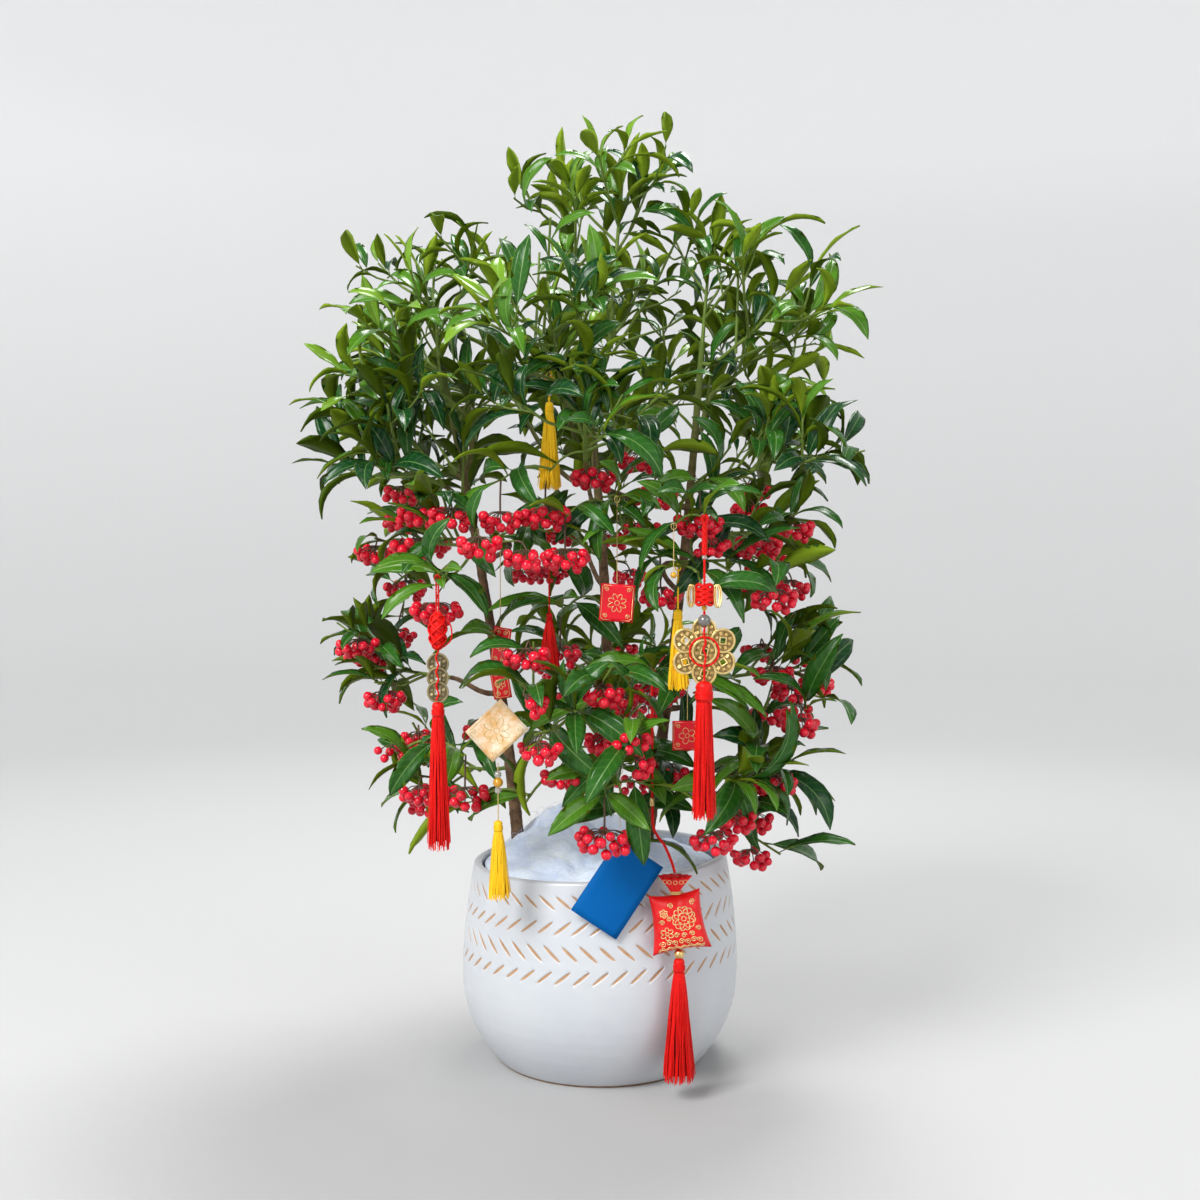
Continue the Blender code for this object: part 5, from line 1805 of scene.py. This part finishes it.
@dataclass
class Ornament:
    """One hanging ornament: where it was seen, the twig it hangs from, and its parts by slot."""

    name: str
    seen: Vector
    growth: Growth
    length: float
    clear: float = 0.010
    open: int = 3
    tied: Vector | None = None
    solids: dict[Slot, Solid] = field(default_factory=dict)
    lines: dict[tuple[Slot, Finish], list[Line]] = field(default_factory=dict)

    def __post_init__(self) -> None:
        """Finds or grows the twig that it hangs from."""
        self.top = self.seen
        self.twig = self.growth.hang_twig(self.tied or self.seen)
        self.rule = random.Random(self.name)

    def obstacles(self) -> list[Capsule]:
        """The space that leaves and fruit keep clear of: the ornament, and a few steps in front of it."""
        found = [(self.twig, self.top, 0.004)]
        for step in range(self.open + 1):
            ahead = FRONT * (0.022 * step)
            found.append((self.top + ahead, self.at(0, -self.length) + ahead, self.clear))
        return found

    def at(self, x: float, z: float, y: float = 0.0) -> Vector:
        """A place given from the ornament's top: to the right, up and back."""
        return self.top + Vector((x, y, z))

    def solid(self, slot: Slot) -> Solid:
        """The mesh that gathers one slot's shapes."""
        return self.solids.setdefault(slot, Solid())

    def line(self, slot: Slot, finish: Finish, points: Sequence[Vector], radius: float) -> None:
        """Adds one cord along the points."""
        self.lines.setdefault((slot, finish), []).append((list(points), [radius] * len(points)))

    def twisted(self, slot: Slot, finish: Finish, points: Sequence[Vector], radius: float, plies: int = 2) -> None:
        """Adds a laid cord: plies that wind round each other along the points."""
        path = smooth_line(points, 2)
        fine = [path[0]]
        for a, b in zip(path, path[1:]):
            steps = max(1, int((b - a).length / 0.0009))
            fine += [a.lerp(b, (k + 1) / steps) for k in range(steps)]
        run = 0.0
        plied: list[list[Vector]] = [[] for _ in range(plies)]
        for i, point in enumerate(fine):
            before, after = fine[max(i - 1, 0)], fine[min(i + 1, len(fine) - 1)]
            side, normal = side_and_normal((after - before).normalized(), FRONT)
            run += (point - before).length
            for ply in range(plies):
                angle = 2 * math.pi * (run / (radius * 5.5) + ply / plies)
                plied[ply].append(point + (side * math.cos(angle) + normal * math.sin(angle)) * radius * 0.5)
        for ply in plied:
            self.line(slot, finish, ply, radius * 0.56)

    def hang(self, slot: Slot, finish: Finish, radius: float, end: Vector, plies: int = 2) -> None:
        """The cord from the twig, looped once over it, down to the ornament."""
        self.line(slot, finish, circle(self.twig - UP * 0.0006, 0.0, 0.0, 0.0030, 8), radius * 0.7)
        self.line(slot, finish, circle(self.twig - UP * 0.0006, 0.0024, 0.0, 0.0030, 12), radius * 0.7)
        start = self.twig - UP * 0.0030
        if (start - end).length > 0.004:
            self.twisted(slot, finish, [start, start.lerp(end, 0.5), end], radius, plies)

    def bead(self, x: float, z: float, radius: float, finish: Finish, y: float = 0.0) -> None:
        """A round bead."""
        self.solid(Slot.BEAD).ball(self.at(x, z, y), radius, finish)

    def tassel(
        self, slot: Slot, finish: Finish, x: float, z: float, length: float, head: float, width: float,
        strands: int = 110,
    ) -> None:
        """A tassel: a wound head over a skirt of fine strands.

        Args:
            slot: The slot of its silk.
            finish: The silk.
            x: Its axis, from the ornament's top.
            z: The head's top.
            length: From there to the strands' ends.
            head: The head's radius.
            width: The skirt's radius at its end.
            strands: How many strands are drawn round a solid core, which is coloured as painted shade.
        """
        top = self.at(x, z)
        neck = head * 2.4
        profile = [(head * 0.3, 0.0), (head * 0.8, -head * 0.25), (head, -head * 0.8), (head * 0.8, -head * 1.35)]
        profile += [(head * 0.92, -head * 1.6), (head * 0.92, -neck)]
        self.solid(slot).lathe(profile, top, finish, 22, lambda a, h: 1 + 0.03 * math.sin(11 * a))
        for k in range(4):
            wind = circle(top - UP * (head * (1.35 + 0.22 * k)), head * 0.95, head * 0.95, 0.0, 16)
            self.line(slot, finish, wind, head * 0.13)
        skirt = length - neck
        core = []
        for i in range(9):
            share = i / 8
            wide = head * 0.8 + (width * 0.86 - head * 0.8) * share**0.7
            core.append((wide, -neck + head * 0.2 - skirt * 0.93 * share))
        # The solid core takes a darker copy of the silk as painted shade, so the gaps between the strands look dark
        core_painted_shade = RED_SILK_PAINTED_SHADE if finish is RED_SILK else YELLOW_SILK_PAINTED_SHADE
        self.solid(slot).lathe(core, top, core_painted_shade, 28, lambda a, h: 1 + 0.05 * math.sin(9 * a + 60 * h))
        for _ in range(strands):
            angle = self.rule.uniform(0, 2 * math.pi)
            loose = self.rule.random() ** 6
            sway = self.rule.uniform(-0.05, 0.05)
            cut = self.rule.uniform(0.95, 1.0) - 0.05 * loose
            points = []
            for i in range(8):
                share = i / 7 * cut
                wide = (head * 0.85 + (width - head * 0.85) * share**0.7) * (1 + 0.35 * loose * share)
                turn = angle + sway * i + 0.03 * math.sin(i * 2 + angle * 5)
                points.append(top + Vector((wide * math.cos(turn), wide * math.sin(turn), -neck - skirt * share)))
            self.line(slot, finish, points, 0.00036)

    def card(
        self, slot: Slot, finish: Finish, place: Matrix, width: float, height: float, bow: float,
        figures: Iterable[Figure] = (),
    ) -> None:
        """A thin, slightly bowed card with figures in relief on its front."""
        half = 0.0005

        def shape(u: float, v: float, side: int) -> Vector:
            return Vector((u * width / 2, bow * (u * u + 0.4 * u * v) + side * half, v * height / 2))

        self.solid(slot).slab(place, shape, finish, 9, 11)
        for figure in figures:
            points = [place @ (shape(2 * x / width, 2 * z / height, -1) + FRONT * 0.0001) for x, z in figure]
            self.line(slot, GOLD_PRINT, points, 0.00034)

    def coin(self, place: Matrix, radius: float, finish: Finish, thickness: float = 0.0013) -> None:
        """A coin with a raised rim, a square hole with its own rim, and short raised strokes."""
        count, hole = 40, radius * 0.20
        profile = [(1.0, 0.36), (0.97, 0.5), (0.88, 0.5), (0.84, 0.30), (0.30, 0.30), (0.27, 0.5), (0.20, 0.5)]
        rings = []
        for share, level in profile + [(share, -level) for share, level in reversed(profile)]:
            ring = []
            for k in range(count):
                angle = 2 * math.pi * k / count
                square = hole / max(abs(math.cos(angle)), abs(math.sin(angle)))
                blend = min(1.0, max(0.0, (share - 0.30) / 0.54))
                reach = square * (share / 0.20) * (1 - blend) + radius * share * blend
                ring.append(place @ Vector((reach * math.cos(angle), -level * thickness, reach * math.sin(angle))))
            rings.append(ring)
        solid = self.solid(Slot.BRASS)
        first = len(solid.faces)
        solid.rings(rings, finish, closed=True)
        dark = BRONZE_FIELD if finish is OLD_BRONZE else COIN_FIELD
        if dark not in solid.finishes:
            solid.finishes.append(dark)
        for number in range(first + 3 * count, first + 4 * count):
            solid.kinds[number] = solid.finishes.index(dark)
        for k in range(8):
            angle = math.pi / 4 * (k + 0.5)
            inner, outer = radius * 0.46, radius * (0.66 if k % 2 else 0.74)
            for side in (-0.11, 0.0, 0.11):
                a, b = angle + side * 1.4, angle + side
                ends = [(inner * math.cos(a), inner * math.sin(a)), (outer * math.cos(b), outer * math.sin(b))]
                points = [place @ Vector((x, -thickness * 0.42, z)) for x, z in ends]
                self.line(Slot.BRASS, finish, points, radius * 0.045)

    def shape(self) -> None:
        """Adds the ornament's parts, which each kind of ornament does in its own way."""
        raise NotImplementedError

    def build(self) -> None:
        """Makes one piece for each slot."""
        self.shape()
        pieces: dict[Slot, list[bpy.types.Object]] = {}
        for slot, solid in self.solids.items():
            pieces.setdefault(slot, []).append(solid.build(f"{self.name}_{slot.value}_solid"))
        for number, ((slot, finish), lines) in enumerate(self.lines.items()):
            piece = tubes(f"{self.name}_{slot.value}_cord_{number}", lines, finish, 5)
            pieces.setdefault(slot, []).append(piece)
        for slot, parts in pieces.items():
            finished(joined(f"{self.name}_{slot.value}", parts), slot)


@dataclass
class CoinTassel(Ornament):
    """A knotted red ball over three coins and a long red tassel."""

    def shape(self) -> None:
        """Adds its cords, ball, coins and tassel."""
        silk = Slot.RED_SILK
        for side in (-0.0010, 0.0010):
            start, end = self.twig + Vector((side, 0.0, -0.003)), self.at(side, 0.0)
            self.twisted(silk, RED_SILK, [start, start.lerp(end, 0.5), end], 0.0009)
        self.hang(silk, RED_SILK, 0.0012, self.twig - UP * 0.004)
        middle, wide, high = self.at(0, -0.0165), 0.0080, 0.0165
        core = [(wide * 0.86 * math.sin(a), -high * math.cos(a)) for a in np.linspace(0.15, 2.99, 9)]
        self.solid(silk).lathe(core, middle, RED_SILK, 16)
        for way in (1, -1):
            for start in range(4):
                points = []
                for i in range(25):
                    angle = way * 2.2 * math.pi * i / 24 + start * math.pi / 2
                    tall = math.pi * (0.06 + 0.88 * i / 24)
                    out = wide * math.sin(tall)
                    points.append(middle + Vector((out * math.cos(angle), out * math.sin(angle), high * math.cos(tall))))
                self.line(silk, RED_SILK, points, 0.0011)
        loop = [self.at(0.006, -0.006), self.at(0.0115, -0.012), self.at(0.0120, -0.024), self.at(0.005, -0.031)]
        self.line(silk, RED_SILK, smooth_line(loop, 4), 0.0007)
        for k in range(3):
            place = card_frame(self.at(0, -0.0458 - 0.0123 * k, 0.001 - 0.0012 * k), yaw=8 - 6 * k, lean=4)
            self.coin(place, 0.0098, OLD_BRONZE)
        self.twisted(silk, RED_SILK, [self.at(0.0012 * (-1) ** i, -0.034 - 0.0062 * i, -0.0042) for i in range(8)], 0.001)
        self.tassel(silk, RED_SILK, 0.0, -0.079, 0.132, 0.0056, 0.0088)


@dataclass
class GoldCharm(Ornament):
    """A cream and gold card hung by a corner, with beads and a yellow tassel."""

    def shape(self) -> None:
        """Adds its cord, card, beads and tassel."""
        self.hang(Slot.YELLOW_SILK, GOLD_CORD, 0.0006, self.at(0, -0.003))
        width, height = 0.0375, 0.0455
        figures = [border(width, height, 0.0022), *blossom(8, 0.0045, 0.0125)]
        figures += [scroll(x * 0.0135, y * 0.0165, 0.0026, way=x) for x in (-1, 1) for y in (-1, 1)]
        place = card_frame(self.at(-0.001, -0.0324), yaw=-6, lean=3, tilt=47)
        self.card(Slot.CARD, CREAM_CARD, place, width, height, 0.0008, figures)
        self.line(Slot.YELLOW_SILK, GOLD_CORD, [self.at(0, -0.062), self.at(0, -0.118)], 0.0005)
        self.bead(0, -0.0725, 0.0034, CLEAR_BEAD)
        self.bead(0, -0.0798, 0.0046, AMBER_BEAD)
        self.bead(0, -0.0868, 0.0032, CLEAR_BEAD)
        self.tassel(Slot.YELLOW_SILK, YELLOW_SILK, 0.0, -0.1145, 0.072, 0.0042, 0.0092)


@dataclass
class RedCards(Ornament):
    """One or more small red cards with gold figures."""

    sizes: tuple[tuple[float, float], ...] = ((0.0305, 0.034),)
    yaw: float = 0.0
    tilt: float = 0.0
    petals: int = 8

    def shape(self) -> None:
        """Adds its cord and its cards, one below the other."""
        self.hang(Slot.CARD, GOLD_CORD, 0.0005, self.at(0, 0.001))
        z = 0.0
        for number, (width, height) in enumerate(self.sizes):
            centre = self.at(0, z - height / 2)
            place = card_frame(centre, self.yaw + 14 * number, 3, self.tilt * (1 - 2 * number))
            across = min(width, height)
            figures = [border(width, height, 0.0014), *blossom(self.petals, across * 0.12, across * 0.28)]
            for x in (-1, 1):
                for y in (-1, 1):
                    figures.append(scroll(x * (width * 0.5 - 0.0052), y * (height * 0.5 - 0.0050), 0.0022, way=x))
            self.card(Slot.CARD, RED_CARD, place, width, height, 0.0007, figures)
            z -= height + 0.004


@dataclass
class SilkDrop(Ornament):
    """A tassel on a cord, with or without beads above it."""

    slot: Slot = Slot.RED_SILK
    silk: Finish = RED_SILK
    beads: tuple[tuple[float, float, Finish], ...] = ()
    head_drop: float = 0.0
    head: float = 0.004
    width: float = 0.008

    def shape(self) -> None:
        """Adds its cord, beads and tassel."""
        self.hang(self.slot, self.silk, 0.0010, self.at(0, -self.head_drop))
        for drop, radius, finish in self.beads:
            self.bead(0, -drop, radius, finish)
        self.tassel(self.slot, self.silk, 0.0, -self.head_drop, self.length - self.head_drop, self.head, self.width)


@dataclass
class FineString(Ornament):
    """A thin gold string with one small bead."""

    def shape(self) -> None:
        """Adds the string and the bead."""
        self.hang(Slot.YELLOW_SILK, GOLD_CORD, 0.0005, self.at(0, -self.length))
        self.bead(0, -self.length, 0.0028, AMBER_BEAD)


@dataclass
class CoinFlower(Ornament):
    """A red knot with gold rings over a flower of coins and a red tassel."""

    coin_radius: float = 0.0108

    def shape(self) -> None:
        """Adds its ribbon, knot, rings, beads, coins and tassel."""
        silk = Slot.RED_SILK
        self.hang(silk, RED_SILK, 0.0026, self.at(0, -0.002), 3)
        self.bead(0, -0.004, 0.0022, CLEAR_BEAD)
        knot = self.at(0, -0.036)
        self.twisted(silk, RED_SILK, [self.at(0, -0.004), self.at(0, -0.016), self.at(0, -0.028)], 0.0012)
        body = [(0.003, 0.008), (0.0066, 0.004), (0.0066, -0.004), (0.003, -0.008)]
        self.solid(silk).lathe(body, knot, RED_SILK, 16)
        for way in (1, -1):
            for row in range(4):
                points = []
                for i in range(17):
                    angle = 2 * math.pi * i / 16
                    z = 0.0066 - 0.0044 * row + way * 0.0022 * math.sin(2 * angle)
                    points.append(knot + Vector((0.0070 * math.cos(angle), 0.0066 * math.sin(angle), z)))
                self.line(silk, RED_SILK, points, 0.0013)
        for side in (-1, 1):
            for step in (0.0105, 0.0121):
                ring = circle(knot + Vector((side * step, 0.0, -0.001)), 0.0024, 0.002 * side, 0.0095)
                self.line(Slot.BRASS, BRASS, ring, 0.00085)
        self.twisted(silk, RED_SILK, [self.at(0, -0.042), self.at(0, -0.053), self.at(0, -0.064)], 0.0012)
        self.bead(0, -0.0475, 0.0024, AMBER_BEAD)
        self.bead(0, -0.0585, 0.0056, DARK_BEAD)
        centre = self.at(0, -0.0848)
        step = self.coin_radius * 1.72
        for k in range(6):
            angle = math.pi / 2 + k * math.pi / 3
            place = centre + Vector((step * math.cos(angle), 0.0007 * (-1) ** k, step * math.sin(angle)))
            self.coin(card_frame(place, yaw=3 * math.cos(angle), tilt=37 * k), self.coin_radius, BRASS)
        self.coin(card_frame(centre + FRONT * 0.0024, tilt=12), self.coin_radius * 1.02, BRASS)
        reach = self.coin_radius * 1.16
        self.line(silk, RED_SILK, circle(centre + FRONT * 0.0022, reach, 0.0, reach, 36), 0.0009)
        drop = [(0.0, 0.021), (-0.0005, 0.0135), (0.0012, 0.008), (-0.001, 0.002), (0.0012, -0.004), (0.0, -0.012)]
        drop.append((0.0, -0.026))
        self.twisted(silk, RED_SILK, [centre + Vector((x, -0.0045, z)) for x, z in drop], 0.0011)
        self.tassel(silk, RED_SILK, 0.0, -0.110, 0.121, 0.0076, 0.0082, 130)


@dataclass
class Sachet(Ornament):
    """A puffed red sachet with a gathered top, gold embroidery, a bead and a tassel."""

    width: float = 0.0480
    height: float = 0.0520
    puff: float = 0.0112

    def cloth(self, u: float, v: float, side: int) -> Vector:
        """A point on the pillow: puffed in its middle, pinched along its sides, drawn out at its corners."""
        edge = max(0.0, 1 - abs(u) ** 3.0) * max(0.0, 1 - abs(v) ** 3.0)
        folds = math.sin(11 * v + 3 * u) * u**4 + math.sin(9 * u - 2 * v) * v**4
        reach = 1 + 0.07 * abs(u * v) ** 3 - 0.04 * (1 - v * v) - 0.03 * (1 - u * u)
        thick = self.puff * edge**0.5 * (1 + 0.28 * folds) + 0.0004
        wide = u * self.width / 2 * reach * (1 - 0.07 * v)
        return Vector((wide, side * thick, v * self.height / 2 * reach))

    def embroidery(self) -> list[Figure]:
        """Gold flowers, leafy scrolls and waves along the lower edge."""
        figures = [*blossom(8, 0.0038, 0.0098, 0.0050, 0.0050), *blossom(12, 0.0098, 0.0116, 0.0050, 0.0050)]
        figures += [*blossom(6, 0.0028, 0.0062, -0.0128, -0.0078), *blossom(6, 0.0016, 0.0038, -0.0140, 0.0120)]
        for number, x in enumerate((-0.017, -0.0115, -0.006, 0.0, 0.006, 0.0115, 0.017)):
            figures.append(scroll(x, -0.0178 + 0.0012 * (number % 2), 0.0029, 1.4, 1 if number % 2 else -1))
        spots = ((-0.0165, 0.0035), (-0.0095, 0.0065), (-0.0065, 0.0185), (0.0155, 0.0185), (0.0178, -0.0065))
        for number, (x, z) in enumerate((*spots, (0.0030, -0.0110), (0.0110, -0.0105), (-0.0040, -0.0100))):
            figures.append(scroll(x, z, 0.0027, 1.5, 1 if number % 2 else -1))
        for level in (-0.0218, -0.0232):
            figures.append([(x / 1000, level + 0.0008 * math.sin(x)) for x in range(-20, 21)])
        return figures

    def shape(self) -> None:
        """Adds its cord, gathered top, pillow, embroidery, bead and tassel."""
        silk = Slot.RED_SILK
        neck = self.at(0, -0.022)
        band = self.at(-0.0210, 0.064)
        self.hang(silk, RED_SILK, 0.0013, self.twig - UP * 0.004)
        path = [self.twig - UP * 0.003, band, self.at(-0.019, 0.037), self.at(-0.0104, 0.025)]
        path += [self.at(-0.003, 0.008), self.at(0, -0.002)]
        self.twisted(silk, RED_SILK, path, 0.0014, 3)
        ferrule = [(0.0018, -0.004), (0.0023, -0.003), (0.0023, 0.003), (0.0018, 0.004)]
        self.solid(Slot.BRASS).lathe(ferrule, band, BRASS, 14)
        place = card_frame(self.at(0.003, -0.0475), yaw=4, lean=-2, tilt=-8)
        self.solid(silk).slab(place, self.cloth, RED_CLOTH, 25, 27)
        for figure in self.embroidery():
            spots = [self.cloth(2 * x / self.width, 2 * z / self.height, -1) for x, z in figure]
            self.line(silk, GOLD_PRINT, [place @ (spot + FRONT * 0.0001) for spot in spots], 0.00050)
        frill = [(0.0045, 0.0), (0.0038, 0.002), (0.0060, 0.006), (0.0100, 0.012), (0.0135, 0.0175)]
        frill += [(0.0125, 0.0165), (0.0088, 0.0115), (0.0030, 0.006)]

        def pleats(angle: float, height: float) -> float:
            return 1 + (0.05 + 9.0 * max(0.0, height)) * math.sin(11 * angle + 40 * height)

        self.solid(silk).lathe(frill, neck, RED_CLOTH, 66, pleats, 0.55)
        for k in range(2):
            self.line(silk, GOLD_CORD, circle(neck + UP * (0.0008 + 0.0016 * k), 0.0047, 0.0030, 0.0, 16), 0.0008)
        for k in range(5):
            angle = math.pi * (1.15 + 0.175 * k)
            spot = neck + Vector((0.0105 * math.cos(angle), 0.0062 * math.sin(angle) - 0.0008, 0.0125))
            self.line(silk, GOLD_PRINT, circle(spot, 0.0018, 0.0, 0.0018, 8), 0.0003)
        self.solid(Slot.BRASS).ball(self.at(0.004, -0.0775, -0.001), 0.0048, BRASS)
        self.tassel(silk, RED_SILK, 0.004, -0.0815, 0.116, 0.0054, 0.0128, 170)


@dataclass
class BlueCard(Ornament):
    """A plain blue card hung by a corner in front of the planter."""

    def shape(self) -> None:
        """Adds its string and the card."""
        self.hang(Slot.BLUE_CARD, GOLD_CORD, 0.0004, self.at(0, -0.002))
        place = card_frame(self.at(-0.0025, -0.0495, -0.0045), yaw=2, lean=-5, tilt=34)
        self.card(Slot.BLUE_CARD, BLUE_CARD, place, 0.050, 0.079, 0.0015)


def make_ornaments(growth: Growth) -> list[Ornament]:
    """All ornaments, each where the photograph shows it."""
    yellow = {"slot": Slot.YELLOW_SILK, "silk": YELLOW_SILK}
    beads = ((0.0, 0.0046, AMBER_BEAD), (0.0085, 0.0026, CLEAR_BEAD), (0.0135, 0.0022, CLEAR_BEAD))
    narrow = {"sizes": ((0.017, 0.035), (0.017, 0.028)), "yaw": -18, "tilt": 9, "petals": 6}
    return [
        CoinTassel("coin_tassel", Vector((-0.1425, -0.190, 0.4582)), growth, 0.211, 0.012),
        GoldCharm("gold_charm", Vector((-0.0925, -0.150, 0.3804)), growth, 0.186, 0.026, 5),
        RedCards("narrow_cards", Vector((-0.0925, -0.105, 0.4385)), growth, 0.068, 0.012, **narrow),
        SilkDrop(
            "yellow_drop", Vector((-0.0459, -0.135, 0.6650)), growth, 0.100, 0.010,
            beads=beads, head_drop=0.020, width=0.0085, **yellow,
        ),
        SilkDrop("red_drop", Vector((-0.0470, -0.110, 0.4523)), growth, 0.053, 0.010, head=0.0030, width=0.0085),
        RedCards("red_card", Vector((0.0153, -0.155, 0.4810)), growth, 0.036, 0.017, tilt=4),
        FineString("fine_string", Vector((0.0640, -0.200, 0.5250)), growth, 0.034, 0.004),
        CoinFlower("coin_flower", Vector((0.0895, -0.220, 0.5110)), growth, 0.231, 0.022),
        SilkDrop("yellow_tassel", Vector((0.0690, -0.175, 0.4675)), growth, 0.080, 0.009, head_drop=0.008, **yellow),
        RedCards(
            "red_packet", Vector((0.0804, -0.125, 0.3535)), growth, 0.030, 0.016,
            sizes=((0.0275, 0.0275),), petals=5,
        ),
        Sachet("sachet", Vector((0.0690, -0.134, 0.2160)), growth, 0.198, 0.022, tied=Vector((0.0475, -0.140, 0.300))),
        BlueCard("blue_card", Vector((0.0185, -0.131, 0.2490)), growth, 0.098, 0.030, 0),
    ]


@dataclass
class Studio:
    """The pale floor, soft lamps and the camera."""

    flat_radius: float = 2.3
    curve: float = 2.2
    top: float = 3.2
    paint: Finish = FloorPaint("floor_paint", (0.44, 0.44, 0.44), (0.43, 0.43, 0.43), 0.9, 2.0, 0.1, 50.0, 0.02, gloss=0.1)

    def build_floor(self) -> None:
        """A round floor that rises into a backdrop on all sides in one soft curve."""
        profile = [(0.02, 0.0), (self.flat_radius, 0.0)]
        for i in range(1, 19):
            angle = math.pi / 2 * i / 18
            profile.append((self.flat_radius + self.curve * math.sin(angle), self.curve * (1 - math.cos(angle))))
        profile.append((self.flat_radius + self.curve, self.top))
        sides = 96
        points, faces = [], []
        for radius, z in profile:
            for k in range(sides):
                angle = 2 * math.pi * k / sides
                points.append(Vector((radius * math.cos(angle), radius * math.sin(angle), z)))
        for row in range(len(profile) - 1):
            for k in range(sides):
                a, b = row * sides + k, row * sides + (k + 1) % sides
                faces.append((a, b, b + sides, a + sides))
        faces.append(tuple(range(sides)))
        mesh_object("floor", points, faces, [self.paint.build()])

    def lamp(self, name: str, place: tuple, target: tuple, size: float, power: float) -> None:
        """One square soft lamp that faces a target."""
        light = bpy.data.lights.new(name, "AREA")
        light.size = size
        light.energy = power
        obj = bpy.data.objects.new(name, light)
        obj.location = place
        obj.rotation_euler = (Vector(target) - Vector(place)).to_track_quat("-Z", "Y").to_euler()
        bpy.context.scene.collection.objects.link(obj)

    def build_lights(self) -> None:
        """A broad key light from the upper left, a fill and a glow from behind."""
        middle = (0.0, 0.0, 0.45)
        self.lamp("key", (-2.0, -2.6, 3.0), middle, 1.7, 190.0)
        self.lamp("fill", (2.4, -2.1, 1.7), middle, 1.6, 24.0)
        self.lamp("top", (0.4, 0.9, 2.9), middle, 1.1, 78.0)
        world = bpy.data.worlds.new("studio")
        world.use_nodes = True
        background = world.node_tree.nodes["Background"]
        background.inputs["Color"].default_value = (0.95, 0.97, 1.0, 1.0)
        background.inputs["Strength"].default_value = 0.42
        bpy.context.scene.world = world

    def build_camera(self) -> None:
        """The camera at the photograph's place."""
        camera = bpy.data.cameras.new("camera")
        camera.lens = CAMERA_LENS
        obj = bpy.data.objects.new("camera", camera)
        obj.location = (0.0, -CAMERA_DISTANCE, CAMERA_HEIGHT)
        obj.rotation_euler = (math.pi / 2 - CAMERA_PITCH, 0.0, 0.0)
        bpy.context.scene.collection.objects.link(obj)
        bpy.context.scene.camera = obj

    def build(self) -> None:
        """Makes the whole studio."""
        self.build_camera()
        self.build_floor()
        self.build_lights()
        bpy.context.scene.view_settings.view_transform = "Standard"


def main() -> None:
    """Builds the sub-assemblies in order."""
    logging.basicConfig(level=logging.INFO, format="%(message)s")
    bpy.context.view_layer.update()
    Studio().build()
    Planter().build()
    Filling().build()
    growth = Growth()
    ornaments = make_ornaments(growth)
    growth.grow(capsule for ornament in ornaments for capsule in ornament.obstacles())
    LOG.info("%d shoots, %d leaves, %d clusters", len(growth.shoots), len(growth.leaves), len(growth.clusters))
    LOG.info("%d fruits", sum(len(cluster.berries) for cluster in growth.clusters))
    Foliage(growth).build()
    for ornament in ornaments:
        LOG.info("%s on a cord of %.3f", ornament.name, (ornament.twig - ornament.top).length)
        ornament.build()
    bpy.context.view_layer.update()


if __name__ == "__main__":
    main()
